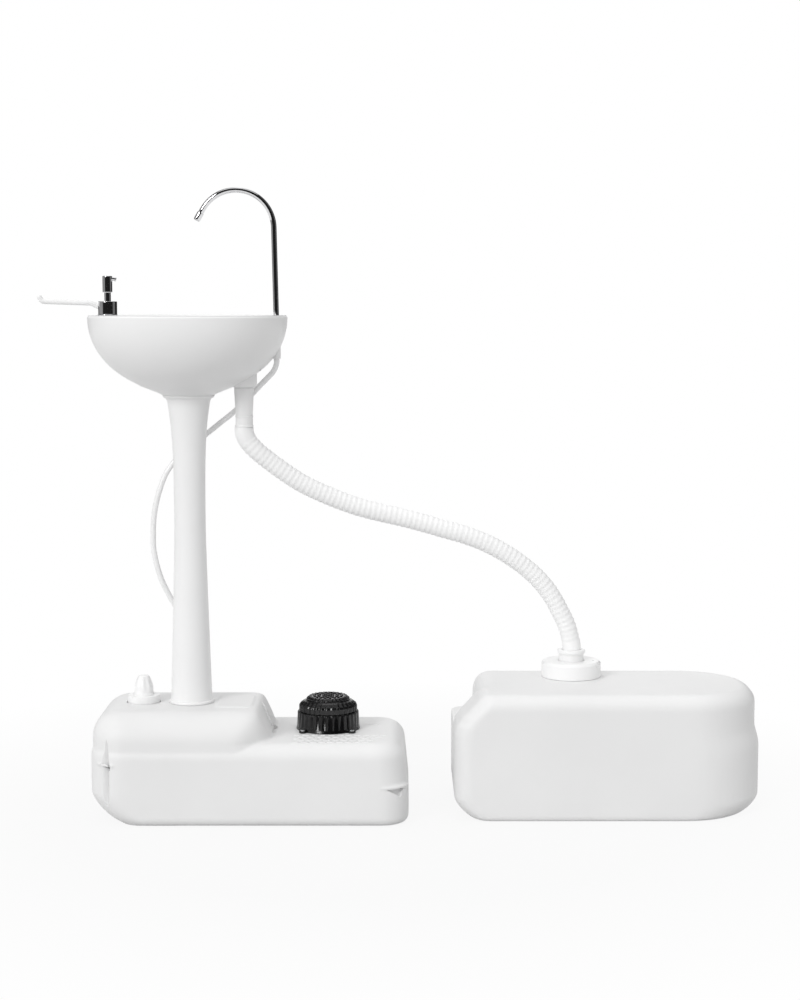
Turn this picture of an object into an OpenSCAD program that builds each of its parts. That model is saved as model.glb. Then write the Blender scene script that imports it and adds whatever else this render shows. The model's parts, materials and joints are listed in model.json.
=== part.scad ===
// Camp wash stand. A blow-moulded fresh water tank with a foot pump carries a push-in column,
// a double-walled basin, a gooseneck spout, a soap dispenser and a towel arm. A corrugated
// drain hose runs to a separate recovery tank on the floor beside it.
// Millimetres, +Z up. The origin is on the floor, on the axis of the column. -Y is the front.

/* [Fresh water tank] */
// Length of the base tank, left to right
tank_l = 514; // [490:1:590]
// Depth of the base tank, front to back
tank_w = 240; // [220:5:280]
// Height of the low deck that carries the foot pump
deck_h = 133; // [120:1:160]
// Height of the hump above the deck
hump_rise = 47; // [40:1:70]
// Length of the hump at the foot of its slope
hump_l = 294; // [285:1:310]
// How far the slope at the hump's right end leans back over its height
hump_lean = 25; // [10:1:40]
// Distance of the column axis from the tank's left end
column_inset = 157; // [150:1:170]
// Wall of both tanks
tank_wall = 3; // [2:0.5:4]
// Radius of the tank's vertical corners at the left end
tank_corner_left = 60; // [30:1:80]
// Radius of the tank's vertical corners at the right end
tank_corner_right = 45; // [30:1:70]
// Radius of the deck's edge
deck_edge_r = 25; // [12:1:32]
// Radius of the tank's foot edge
foot_edge_r = 14; // [8:1:20]
// Size of the foot edge at the left end
foot_edge_left = 60; // [15:1:66]
// Radius of the hump's top edge at the front and the back
hump_edge_r = 46; // [30:1:50]
// Radius of the hump's top edge at the left end
hump_edge_left = 47; // [46:1:60]
// Radius of the hump's vertical corners beside the slope
hump_corner_right = 70; // [50:1:85]

/* [Fill neck and cap] */
// Distance of the fill neck from the column axis
fill_x = 79; // [75:1:82]
// Outer diameter of the fill neck
fill_neck_d = 42; // [34:1:44]
// Height of the fill neck above the hump
fill_neck_h = 9; // [6:1:12]
// Outer diameter of the fill cap
fill_cap_d = 52; // [50:1:56]
// Height of the fill cap's skirt
fill_cap_h = 12; // [11:1:18]
// Height of the grip on the fill cap
fill_grip_h = 32; // [25:1:36]
// Diameter of the grip on the fill cap
fill_grip_d = 31; // [24:1:34]

/* [Foot pump] */
// Distance of the pump axis from the middle of the low deck, towards the hump
pump_inset = 23; // [10:1:30]
// Distance of the pump axis behind the column axis
pump_back = 14; // [0:1:20]
// Outer diameter of the fluted pump collar
pump_d = 103; // [98:1:110]
// Height of the pump collar above the deck
pump_collar_h = 30; // [28:1:38]
// Height of the rubber boot above the collar
boot_h = 19; // [19:1:24]
// Diameter of the tread pad on top of the boot
tread_d = 71; // [60:1:74]
// Thickness of the tread pad
tread_t = 5.5; // [4:0.5:8]
// How far the tread goes down
pump_travel = 16; // [10:1:16]
// Depth of the pump cup below its flange
cup_depth = 70; // [60:1:80]
// Wall of the pump cup
cup_wall = 3; // [2:0.5:4]
// Number of flutes round the pump collar
flute_n = 32; // [24:4:40]

/* [Column] */
// Diameter of the column at its foot
column_foot_d = 68; // [64:1:72]
// Diameter of the column at its waist
column_waist_d = 51; // [46:1:56]
// Diameter of the flared column head
column_head_d = 84; // [78:1:88]
// Wall of the column
column_wall = 3; // [2:0.5:4]
// Length of the plug that goes into the tank
plug_l = 62; // [40:1:70]
// Diameter of the plug that goes into the tank
plug_d = 60; // [50:1:62]
// Length of the spigot that goes into the basin
spigot_l = 22; // [15:1:23]
// Diameter of the spigot that goes into the basin
spigot_d = 56; // [48:1:60]

/* [Basin] */
// Height of the basin rim above the floor
rim_h = 814; // [760:1:860]
// Outer diameter of the basin
basin_d = 322; // [312:1:340]
// Height of the basin from its neck to its rim
basin_h = 128; // [124:1:140]
// Depth of the bowl below the rim deck
bowl_depth = 86; // [70:1:88]
// Width of the rim deck beside the soap dispenser
deck_left = 65; // [60:1:72]
// Width of the rim deck beside the spout
deck_right = 33; // [30:1:38]
// Wall of the double-walled basin
basin_wall = 3; // [2:0.5:4]
// Diameter of the neck under the basin
neck_d = 94; // [88:1:100]

/* [Drain] */
// Distance of the drain axis from the bowl's right wall
drain_inset = 38; // [38:1:44]
// Diameter of the drain flange
drain_flange_d = 34; // [30:1:34]
// Diameter of the moulded drain boss
drain_boss_d = 42; // [38:1:46]
// Diameter of the drain tail pipe
tail_d = 32; // [30:1:36]
// Length of the drain tail pipe
tail_l = 45; // [30:1:60]
// Bore of the drain tail pipe
tail_bore = 22; // [16:1:23]
// Length of the cuff that holds the drain hose
cuff_l = 19; // [12:1:26]

/* [Spout] */
// Distance of the spout leg from the basin's outer edge
spout_inset = 18; // [16:1:20]
// Outer diameter of the spout tube
spout_d = 9; // [8:0.5:10]
// Height of the bend's centre above the rim
spout_rise = 140; // [100:1:180]
// Radius of the spout's bend
spout_r = 61; // [45:1:70]
// Angle of the spout's bend
spout_turn = 150; // [120:1:180]
// Length of the straight end of the spout before its tip
spout_end = 11; // [5:1:20]
// Length of the spout tip
tip_l = 10; // [6:1:14]

/* [Soap dispenser] */
// Distance of the dispenser from the basin's outer edge
soap_inset = 32; // [32:1:38]
// Diameter of the dispenser's collar
soap_collar_d = 30.6; // [28:0.2:34]
// Height of the dispenser's collar
soap_collar_h = 23; // [18:1:26]
// Diameter of the stem
soap_stem_d = 10.6; // [9:0.2:10.8]
// Diameter of the press head
soap_head_d = 15.8; // [14:0.2:18]
// Height of the press head
soap_head_h = 27; // [20:1:30]
// How far the press head goes down
soap_travel = 12; // [8:1:13]
// Diameter of the soap bottle
soap_bottle_d = 32; // [30:1:33]
// Depth of the soap bottle below the rim deck
soap_bottle_l = 45; // [42:1:46]

/* [Towel arm] */
// Diameter of the towel arm's rod
towel_d = 8.4; // [7:0.2:10]
// Length of the arm's long straight
towel_straight = 73; // [50:1:120]
// Distance of the arm's peg behind the dispenser
towel_back = 34; // [32:1:38]

/* [Recovery tank] */
// Length of the recovery tank
rec_l = 513; // [450:1:560]
// Depth of the recovery tank, front to back
rec_w = 248; // [240:1:280]
// Height of the recovery tank
rec_h = 205; // [180:1:230]
// Gap between the two tanks
rec_gap = 71; // [20:1:120]
// How far the recovery tank's middle lies behind the base tank's
rec_back = 36; // [0:1:60]
// Size of the bevel along the tank's top left edge
rec_bevel = 52; // [30:1:70]
// Radius of the recovery tank's vertical corners at the left end
rec_corner_left = 35; // [30:1:60]
// Radius of the recovery tank's vertical corners at the right end
rec_corner_right = 112; // [60:1:115]
// Radius of the recovery tank's top edge
rec_edge_r = 24; // [15:1:28]
// Size of the foot edge at the left end
rec_foot_left = 46; // [20:1:56]
// Radius of the foot edge at the right end
rec_foot_right = 30; // [12:1:40]
// Length of the step at the back of the left end
rec_notch_l = 39; // [25:1:45]
// Depth of that step, from the tank's back
rec_notch_w = 142; // [100:1:160]
// Height of that step's floor
rec_notch_z = 140; // [120:1:150]
// Distance of the recovery cap from the tank's left end
rec_cap_x = 204; // [150:1:260]
// Distance of the recovery cap behind the tank's middle
rec_cap_y = 49; // [0:1:50]
// Outer diameter of the recovery cap
rec_cap_d = 100; // [96:1:108]
// Height of the recovery cap
rec_cap_h = 27; // [18:0.5:30]
// Outer diameter of the recovery tank's neck
rec_neck_d = 88; // [80:1:90]
// Outer diameter of the hose nipple
nipple_d = 47; // [42:1:50]
// Height of the hose nipple above the cap
nipple_h = 18.5; // [14:0.5:32]

/* [Hoses] */
// Outer diameter of the corrugated drain hose
drain_hose_d = 31; // [26:1:33]
// Outer diameter of the supply tube
supply_d = 9; // [7:0.5:10]

/* [Fits] */
// Radial clearance of pieces that push together or turn
fit_gap = 0.4; // [0.2:0.1:0.6]
// Gap between a piece that moves and its stop
rest_gap = 0.3; // [0.2:0.1:0.5]

/* [Hidden] */
$fn = 64;

WHITE = "whitesmoke";
GREY_SEAL = "dimgray";
BLACK = "#1c1c1c";
CHROME = "silver";
STEEL = "lightslategray";
CLEAR_TUBE = "ivory";

// Base tank
tank_x0 = -column_inset;
tank_x1 = tank_x0 + tank_l;
hump_h = deck_h + hump_rise;
hump_x1 = tank_x0 + hump_l;
hump_step = 3;
foot_power = 1.3;
hump_root = 30;
end_draft = 9;
pad_h = 2;
pad_inset = 5;
pad_w = 104;
pad_slope = 4;
corner_steps = 6;
edge_steps = 5;

// Fill neck and cap
fill_neck_r = fill_neck_d / 2;
fill_bore_r = fill_neck_r - 4;
cap_roof = 2;
seal_t = 1.2;

// Foot pump, from the deck up
pump_x = (hump_x1 + tank_x1) / 2 - pump_inset;
pump_r = pump_d / 2;
neck_h = 16;
neck_r = pump_r - 5.5;
neck_wall = 4;
gasket_t = 2;
flange_t = 3;
cup_flange_z = deck_h + neck_h + gasket_t;
cup_top_z = cup_flange_z + flange_t;
cup_r = neck_r - neck_wall - 2;
cup_floor_z = cup_top_z - cup_depth;
boot_rim_t = 4;
lip_r = neck_r - 3;
collar_top_z = deck_h + pump_collar_h;
boot_z = collar_top_z + rest_gap;
tread_z = boot_z + boot_h;
boot_wall = 3;
boot_r = pump_r - 2.5;
tread_r = tread_d / 2;
guide_r = 6;
guide_tube_h = 45;
guide_hold = 44;
guide_pin_l = guide_hold + pump_travel;
spring_r = 16;
spring_wire = 2.4;
spring_turns = 7;
flap_x = 27;
flap_r = 7.5;
pickup_r = 8;
pickup_gap = 12;
strainer_h = 14;
ear_angles = [45, 135, 225, 315];
ear_r = 6.5;
ear_ring = pump_r + 5;
ear_t = 3;
screw_r = 2;
screw_head_r = 4;

// Delivery line inside the tank
outlet_x = 10;
outlet_y = 58;
line_z = cup_floor_z + 14;
line_bend_r = 30;
line_r = 5;
line_dx = outlet_x - pump_x;
line_dy = outlet_y - pump_back;
line_reach = norm([line_dx, line_dy]);
line_angle = atan2(line_dy, line_dx);
elbow_l = 12;
outlet_flange_r = 11;
outlet_flange_t = 3;
outlet_stem_r = 6;
outlet_barb_l = 13;
outlet_stem_l = 16;
outlet_nut_t = 5;
outlet_top_z = hump_h + outlet_flange_t + outlet_barb_l;

// Column
neck_z = rim_h - basin_h;
column_z = hump_h + rest_gap;
waist_z = column_z + 0.575 * (neck_z - column_z);
throat_r = 37;
head_h = 10;
lip_t = 5;
foot_lip = 3;

// Basin
basin_r = basin_d / 2;
deck_z = rim_h - 2;
bead_w = 6;
bowl_x0 = deck_left - basin_r;
bowl_x1 = basin_r - deck_right;
bowl_r = (bowl_x1 - bowl_x0) / 2;
bowl_cx = (bowl_x1 + bowl_x0) / 2;
bowl_fillet = 20;
mouth_r = 4;
bowl_z = deck_z - bowl_depth;
belly_power = 2.3;
belly_depth = basin_h - 1;
neck_r_basin = neck_d / 2;
socket_gap = 1.5;

// Drain
drain_x = bowl_x1 - drain_inset;
sump_d = 2.5;
sump_r = 36;
drain_seat_z = bowl_z - sump_d;
drain_gasket_t = 1;
drain_flange_t = sump_d - drain_gasket_t;
drain_flange_r = drain_flange_d / 2;
drain_thread_r = tail_d / 2 - 4;
drain_boss_z = neck_z + 11;
drain_thread_l = 9;
tail_z = drain_boss_z - tail_l;
tail_r = tail_d / 2;
cuff_z = tail_z - cuff_l;
cuff_r = tail_r - 2;

// Spout
spout_x = basin_r - spout_inset;
spout_tube_r = spout_d / 2;
bush_r = spout_tube_r + 2.4;
bush_boss_r = bush_r + 3;
bush_end_z = rim_h - 70;
bush_flange_r = bush_r + 2;
bush_flange_t = 1.5;
leg_z = rim_h - 44;
seal_z = rim_h - 16;

// Soap dispenser
soap_x = soap_inset - basin_r;
soap_bottle_r = soap_bottle_d / 2;
soap_well_wall = 2.5;
soap_flange_t = 1.5;
soap_neck_r = 12;
soap_roof = 3;
soap_lip = 2;
soap_collar_z = deck_z + soap_flange_t;
soap_collar_top = soap_collar_z + soap_collar_h;
soap_stem_r = soap_stem_d / 2;
soap_head_z = soap_collar_top + soap_travel + 2;
soap_neck_z = soap_collar_top - soap_roof - soap_lip - rest_gap;
soap_house_r = 8;
soap_stem_l = 60;
soap_socket = 10;
soap_floor_z = deck_z - soap_bottle_l;
soap_stem_z = soap_head_z + soap_socket - soap_stem_l;
soap_coil = 0.9;
soap_turns = 6;
soap_house_t = 2;
soap_seat_z = soap_stem_z - soap_travel - soap_turns * soap_coil - 1;
soap_house_z = soap_seat_z - soap_house_t;

// Towel arm
towel_r = towel_d / 2;
towel_x = soap_x + 2;
towel_peg_l = 22;
towel_lift = 14;
towel_boss_r = towel_r + 4;

// Recovery tank
rec_x0 = tank_x1 + rec_gap;
rec_x1 = rec_x0 + rec_l;
rec_cx = rec_x0 + rec_cap_x;
rec_cy = rec_back + rec_cap_y;
rec_step = 9;
rec_step_z = 0.58 * rec_h;
rec_foot_r = 12;
rec_notch_edge = 22;
rec_notch_corner = 34;
rec_pad_h = 1.5;
rec_cap_r = rec_cap_d / 2;
rec_neck_r = rec_neck_d / 2;
rec_neck_wall = 6;
rec_cap_z = rec_h + rec_pad_h + rest_gap;
rec_cap_top = rec_cap_z + rec_cap_h;
rec_lip_t = 4;
rec_flange_t = 2;
rec_seal_t = 2;
rec_neck_top = rec_cap_top - rec_lip_t - rec_flange_t - rec_seal_t;
nipple_r = nipple_d / 2;
nipple_bore = 12;
nipple_top = rec_cap_top + nipple_h;
hose_seat_z = nipple_top - 8;
knurl_n = 40;

// Hose routes, chosen by hand
supply_route = [
    [143, 0, 744], [143, 0, 736], [138, 3, 724], [128, 8, 713], [115, 14, 700],
    [98, 21, 682], [73, 28, 658], [48, 33, 638], [23, 37, 618], [-3, 39, 598],
    [-25, 38, 578], [-42, 36, 555], [-52, 33, 530], [-59, 31, 504], [-63, 30, 478],
    [-64, 30, 455], [-64, 31, 432], [-60, 33, 406], [-53, 37, 380], [-43, 41, 356],
    [-31, 45, 333], [-17, 50, 304], [-5, 54, 272], [5, 57, 240], [10, 58, 212],
    [10, 58, 196]
];
drain_route = [
    [90, 0, 633], [90, 0, 624], [96, 1, 610], [110, 3, 594], [129, 7, 578],
    [150, 10, 562], [179, 15, 542], [212, 20, 525], [244, 25, 511], [277, 29, 499],
    [310, 33, 490], [343, 38, 482], [376, 42, 473], [409, 46, 463], [443, 50, 453],
    [476, 54, 441], [508, 58, 425], [536, 62, 407], [560, 66, 388], [580, 69, 368],
    [597, 72, 345], [612, 76, 318], [624, 80, 292], [632, 85, 262], [632, 85, 244]
];

// ---------------------------------------------------------------- shared shapes

// Inset of a wall at height z of h, with a lower edge of size rb and an upper edge radius rt.
// The lower edge is round where its power is 2, and nearer to a chamfer where it is less.
function edge(z, h, rb, rt, power = 2) =
    z < rb ? rb * (1 - pow(1 - pow(1 - z / rb, power), 1 / power))
    : z > h - rt ? rt - sqrt(max(0, rt * rt - (z - h + rt) * (z - h + rt)))
    : 0;

// Heights that follow a lower edge radius rb and an upper edge radius rt over a height h
function levels(h, rb, rt) = concat(
    [for (i = [0:edge_steps]) rb * (1 - cos(90 * i / edge_steps))],
    [for (i = [0:edge_steps]) h - rt * (1 - sin(90 * i / edge_steps))]
);

// One rounded corner of a plan outline, from angle a on
function corner(cx, cy, r, a) = [
    for (i = [0:corner_steps])
        [cx + r * cos(a + 90 * i / corner_steps), cy + r * sin(a + 90 * i / corner_steps)]
];

// Plan outline of a rounded box, with corner radius rl at the left end and rr at the right end
function outline(x0, x1, y0, y1, rl, rr) = concat(
    corner(x1 - rr, y1 - rr, rr, 0),
    corner(x0 + rl, y1 - rl, rl, 90),
    corner(x0 + rl, y0 + rl, rl, 180),
    corner(x1 - rr, y0 + rr, rr, 270)
);

function at_height(points, z) = [for (p = points) [p[0], p[1], z]];

// Faces between rings of n points each, m rings, with both ends closed
function skin_faces(n, m) = concat(
    [[for (i = [0:n - 1]) i]],
    [[for (i = [n - 1:-1:0]) (m - 1) * n + i]],
    [
        for (k = [0:m - 2]) for (i = [0:n - 1])
            let (a = k * n + i, b = k * n + (i + 1) % n)
            each [[a, a + n, b + n], [a, b + n, b]]
    ]
);

// Route moved so that it starts at a and ends at b; its first and last steps keep their shape
function tied(route, a, b) =
    let (n = len(route))
    [
        for (i = [0:n - 1])
            let (f = min(1, max(0, (i - 1) / (n - 3))))
            route[i] + (1 - f) * (a - route[0]) + f * (b - route[n - 1])
    ];

// Closed skin over a list of rings
module loft(rings) {
    polyhedron([for (r = rings) each r], skin_faces(len(rings[0]), len(rings)));
}

function unit(v) = v / norm(v);

// Direction of a route at its point i
function heading(route, i) = unit(
    route[min(i + 1, len(route) - 1)] - route[max(i - 1, 0)]
);

// A vector across direction t that turns as little as it can along a route
function across(t, hint) = unit(hint - (hint * t) * t);
function frames(route, i = 0, u = undef) =
    i == len(route) ? []
    : let (t = heading(route, i), v = across(t, is_undef(u) ? [0, 1, 0.01] : u))
        concat([[t, v]], frames(route, i + 1, v));

// Round tube of radius r along a route
module hose(route, r, sides) {
    f = frames(route);
    loft([
        for (i = [0:len(route) - 1])
            let (t = f[i][0], u = f[i][1], w = cross(t, u))
            [for (k = [0:sides - 1]) route[i] + r * (cos(-360 * k / sides) * u - sin(-360 * k / sides) * w)]
    ]);
}

// Helical spring with flat-lying ends, from z0 to z1
module coil(r, wire, turns, z0, z1) {
    per_turn = 12;
    n = turns * per_turn;
    route = [
        for (i = [0:n])
            let (a = 360 * i / per_turn, z = z0 + wire / 2 + (z1 - z0 - wire) * i / n)
            [r * cos(a), r * sin(a), z]
    ];
    hose(route, wire / 2, 6);
}

// Route of a bent rod in the XZ plane, from point p with its heading leaning from +Z to -X.
// Each step is a straight length, then a bend by an angle (against the lean where it is
// negative) about a radius.
function bent(steps, p = [0, 0, 0], lean = 0, i = 0) =
    i == len(steps) ? [p]
    : let (
        turn = steps[i][1],
        bend = steps[i][2] * (turn < 0 ? -1 : 1),
        start = p + steps[i][0] * [-sin(lean), 0, cos(lean)],
        centre = start - bend * [cos(lean), 0, sin(lean)],
        n = ceil(abs(turn) / 10),
        end = centre + bend * [cos(lean + turn), 0, sin(lean + turn)]
    )
    concat(
        [p],
        [
            for (k = [0:1:n - 1])
                let (a = lean + turn * k / n)
                centre + bend * [cos(a), 0, sin(a)]
        ],
        bent(steps, turn == 0 ? start : end, lean + turn, i + 1)
    );

// Flat ring
module ring(r_out, r_in, h) {
    difference() {
        cylinder(r = r_out, h = h);
        translate([0, 0, -1])
            cylinder(r = r_in, h = h + 2);
    }
}

// Ring of n upright cylinders
module around(n, radius) {
    for (i = [0:n - 1])
        rotate([0, 0, 360 * i / n])
            translate([radius, 0, 0])
                children();
}

// ---------------------------------------------------------------- fresh water tank

// Plan outline of the low body at height z, inside its outer face by t
function tank_ring(z, t) =
    let (
        h = deck_h - 2 * t,
        q = z - t,
        left = t + edge(q, h, foot_edge_left - t, deck_edge_r - t, foot_power),
        sides = t + edge(q, h, foot_edge_r - t, deck_edge_r - t),
        draft = end_draft * max(0, 2 * z / deck_h - 1),
        right = t + draft + edge(q, h, foot_edge_r - t, deck_edge_r * 0.6 - t),
        shrink = sides
    )
    at_height(outline(
        tank_x0 + left, tank_x1 - right, -tank_w / 2 + sides, tank_w / 2 - sides,
        max(tank_corner_left - shrink, 8), max(tank_corner_right - shrink, 8)
    ), z);

module tank_body(t) {
    loft([for (z = levels(deck_h - 2 * t, foot_edge_left - t, deck_edge_r - t)) tank_ring(z + t, t)]);
}

// Plan outline of the hump at height z, inside its outer face by t
function hump_ring(z, t) =
    let (
        h = hump_h - t,
        left = hump_step + t + edge(z, h, 0, hump_edge_left - t),
        sides = hump_step + t + edge(z, h, 0, hump_edge_r - t),
        lean = hump_lean * (z - deck_h) / hump_rise,
        right = t + lean + edge(z, h, 0, 11 - t)
    )
    at_height(outline(
        tank_x0 + left, hump_x1 - right, -tank_w / 2 + sides, tank_w / 2 - sides,
        max(tank_corner_left - sides, 12), max(hump_corner_right - sides, 12)
    ), z);

module hump_body(t) {
    root = deck_h - hump_root;
    loft(concat(
        [hump_ring(root, t)],
        [
            for (i = [0:2 * edge_steps])
                hump_ring(hump_h - t - (hump_edge_left - t) * (1 - sin(45 * i / edge_steps)), t)
        ]
    ));
}

// Low raised pad on the hump between the column and the slope
module hump_pad() {
    x0 = column_foot_d / 2 + foot_lip + pad_inset;
    x1 = hump_x1 - hump_lean - 8;
    loft([
        for (q = [[hump_h - 3, 0], [hump_h, 0], [hump_h + pad_h, pad_slope]])
            at_height(outline(
                x0 + q[1], x1 - q[1], -pad_w / 2 + q[1], pad_w / 2 - q[1], 14, 14
            ), q[0])
    ]);
}

module fresh_tank() {
    color(WHITE)
        difference() {
            union() {
                difference() {
                    union() {
                        tank_body(0);
                        hump_body(0);
                        hump_pad();
                    }
                    tank_body(tank_wall);
                    hump_body(tank_wall);
                }
                // Socket for the column
                translate([0, 0, hump_h - plug_l - tank_wall])
                    cylinder(r = plug_d / 2 + fit_gap + tank_wall, h = plug_l + tank_wall);
                // Fill neck
                translate([-fill_x, 0, hump_h - tank_wall - 4])
                    cylinder(r = fill_neck_r, h = tank_wall + 4 + fill_neck_h);
                // Pump neck
                translate([pump_x, pump_back, deck_h - tank_wall - 3])
                    cylinder(r = neck_r, h = tank_wall + 3 + neck_h);
            }
            translate([0, 0, hump_h - plug_l])
                cylinder(r = plug_d / 2 + fit_gap, h = plug_l + 10);
            translate([-fill_x, 0, hump_h - 20])
                cylinder(r = fill_bore_r, h = 40);
            translate([pump_x, pump_back, deck_h - 20])
                cylinder(r = neck_r - neck_wall, h = 60);
            translate([outlet_x, outlet_y, hump_h - 20])
                cylinder(r = outlet_stem_r + fit_gap, h = 40);
        }
}

module fill_cap() {
    z = hump_h + rest_gap;
    color(WHITE)
        translate([-fill_x, 0, z]) {
            difference() {
                cylinder(r = fill_cap_d / 2, h = fill_cap_h);
                translate([0, 0, -1])
                    cylinder(r = fill_neck_r + fit_gap, h = fill_cap_h - cap_roof + 1);
                around(36, fill_cap_d / 2 + 0.5)
                    translate([0, 0, -1])
                        cylinder(r = 1.2, h = fill_cap_h - 1.5);
            }
            // Stepped grip with four wings
            translate([0, 0, fill_cap_h])
                difference() {
                    rotate_extrude()
                        polygon([
                            [0, 0], [fill_grip_d / 2, 0], [fill_grip_d / 2, 0.45 * fill_grip_h],
                            [0.45 * fill_grip_d, 0.63 * fill_grip_h],
                            [0.36 * fill_grip_d, 0.82 * fill_grip_h],
                            [0.24 * fill_grip_d, fill_grip_h - 0.8], [0, fill_grip_h]
                        ]);
                    around(8, fill_grip_d / 2 + 1.5)
                        translate([0, 0, 2])
                            cylinder(r = 4, h = fill_grip_h);
                }
        }
}

module fill_cap_seal() {
    color(GREY_SEAL)
        translate([-fill_x, 0, hump_h + rest_gap + fill_cap_h - cap_roof - seal_t])
            ring(fill_neck_r, fill_bore_r, seal_t);
}

// ---------------------------------------------------------------- foot pump

module pump_gasket() {
    color(GREY_SEAL)
        translate([pump_x, pump_back, deck_h + neck_h])
            ring(neck_r, neck_r - neck_wall, gasket_t);
}

// Cup that hangs in the tank, with the guide tube, the inlet ports and the outlet port
module pump_cup() {
    color("gainsboro")
        translate([pump_x, pump_back, 0])
            difference() {
                union() {
                    translate([0, 0, cup_flange_z])
                        cylinder(r = neck_r, h = flange_t);
                    translate([0, 0, cup_floor_z - cup_wall])
                        cylinder(r = cup_r, h = cup_top_z - cup_floor_z + cup_wall);
                }
                difference() {
                    translate([0, 0, cup_floor_z])
                        cylinder(r = cup_r - cup_wall, h = cup_depth + 1);
                    translate([0, 0, cup_floor_z - 1])
                        cylinder(r = guide_r + fit_gap + 2, h = guide_tube_h + 1);
                }
                translate([0, 0, cup_floor_z])
                    cylinder(r = guide_r + fit_gap, h = guide_tube_h + 1);
                // Inlet ports under the flap
                translate([flap_x, 0, cup_floor_z - cup_wall - 1])
                    around(4, 4)
                        cylinder(r = 1.8, h = cup_wall + 2, $fn = 24);
                // Outlet port in the wall
                rotate([0, 0, line_angle])
                    translate([cup_r - cup_wall - 1, 0, line_z])
                        rotate([0, 90, 0])
                            cylinder(r = line_r - 1.5, h = cup_wall + 2, $fn = 32);
            }
}

// Fluted clamping collar with four screw ears
module pump_collar() {
    rim_z = cup_top_z + boot_rim_t + rest_gap;
    color(BLACK)
        translate([pump_x, pump_back, 0])
            difference() {
                union() {
                    translate([0, 0, deck_h + rest_gap])
                        rotate_extrude()
                            polygon([
                                [0, 0], [pump_r + 1.5, 0], [pump_r + 0.8, ear_t - 1], [pump_r, ear_t + 2],
                                [pump_r, pump_collar_h - 3 - rest_gap],
                                [pump_r - 1.5, pump_collar_h - rest_gap], [0, pump_collar_h - rest_gap]
                            ]);
                    for (a = ear_angles)
                        rotate([0, 0, a])
                            translate([ear_ring, 0, deck_h + rest_gap])
                                cylinder(r = ear_r, h = ear_t);
                }
                translate([0, 0, deck_h])
                    cylinder(r = neck_r + fit_gap, h = rim_z - deck_h);
                cylinder(r = lip_r, h = collar_top_z + 1);
                // Flutes
                around(flute_n, pump_r + 1.6)
                    translate([0, 0, deck_h + ear_t + 5])
                        cylinder(r = 3.2, h = pump_collar_h, $fn = 32);
                for (a = ear_angles)
                    rotate([0, 0, a])
                        translate([ear_ring, 0, deck_h - 1])
                            cylinder(r = screw_r + 0.2, h = ear_t + 5, $fn = 32);
            }
}

// Four pan-head screws on the collar's ears
module pump_screws() {
    color(STEEL)
        translate([pump_x, pump_back, 0])
            for (a = ear_angles)
                rotate([0, 0, a])
                    translate([ear_ring, 0, deck_h + rest_gap])
                        difference() {
                            union() {
                                cylinder(r = screw_r, h = ear_t, $fn = 32);
                                translate([0, 0, ear_t])
                                    cylinder(r = screw_head_r, h = 2.2, $fn = 32);
                            }
                            translate([-2.5, -0.5, ear_t + 1.2])
                                cube([5, 1, 2]);
                            translate([-0.5, -2.5, ear_t + 1.2])
                                cube([1, 5, 2]);
                        }
}

// Clamped lower part of the rubber boot
module boot_rim() {
    color(BLACK)
        translate([pump_x, pump_back, 0])
            difference() {
                union() {
                    translate([0, 0, cup_top_z])
                        cylinder(r = neck_r, h = boot_rim_t);
                    translate([0, 0, cup_top_z])
                        cylinder(r = lip_r - fit_gap, h = collar_top_z - cup_top_z);
                }
                translate([0, 0, cup_top_z - 1])
                    cylinder(r = cup_r - cup_wall, h = boot_h + pump_collar_h);
            }
}

// Flexing upper part of the rubber boot, with a ribbed shoulder
module pump_boot() {
    color(BLACK)
        translate([pump_x, pump_back, boot_z])
            difference() {
                rotate_extrude()
                    polygon([
                        [cup_r - cup_wall, 0], [boot_r, 0], [boot_r, 0.46 * boot_h],
                        [boot_r - 2, 0.62 * boot_h], [tread_r + 5, 0.86 * boot_h],
                        [tread_r + 1.5, 0.93 * boot_h], [tread_r, boot_h], [tread_r - 8, boot_h],
                        [tread_r - 8, boot_h - boot_wall], [tread_r + 3, 0.86 * boot_h - boot_wall],
                        [boot_r - boot_wall, 0.3 * boot_h], [cup_r - cup_wall, 0.15 * boot_h]
                    ]);
                around(flute_n, boot_r + 1.6)
                    translate([0, 0, -1])
                        cylinder(r = 3, h = boot_h + 2, $fn = 24);
            }
}

// Pad that the foot presses, with raised nubs and the guide pin
module pump_tread() {
    color(BLACK)
        translate([pump_x, pump_back, tread_z]) {
            rotate_extrude()
                polygon([
                    [0, 0], [tread_r - 9, 0], [tread_r - 9, rest_gap], [tread_r, rest_gap],
                    [tread_r, tread_t - 1.5], [tread_r - 1.5, tread_t], [0, tread_t]
                ]);
            for (row = [1:4])
                around(6 * row, row * (tread_r - 4) / 4.2)
                    translate([0, 0, tread_t - 0.5])
                        cylinder(r1 = 2, r2 = 1.4, h = 2.1, $fn = 16);
            translate([0, 0, -guide_pin_l])
                cylinder(r = guide_r, h = guide_pin_l + 1);
        }
}

module pump_spring() {
    color(STEEL)
        translate([pump_x, pump_back, 0])
            coil(spring_r, spring_wire, spring_turns, cup_floor_z, tread_z);
}

// Rubber flap over the inlet ports
module inlet_flap() {
    color(GREY_SEAL)
        translate([pump_x + flap_x, pump_back, cup_floor_z])
            cylinder(r = flap_r, h = 1.5, $fn = 48);
}

module pickup_tube() {
    top = cup_floor_z - cup_wall;
    bottom = tank_wall + pickup_gap;
    color(WHITE)
        translate([pump_x + flap_x, pump_back, bottom])
            difference() {
                cylinder(r = pickup_r, h = top - bottom);
                translate([0, 0, -1])
                    cylinder(r = pickup_r - 1.8, h = top - bottom + 2);
            }
}

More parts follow.
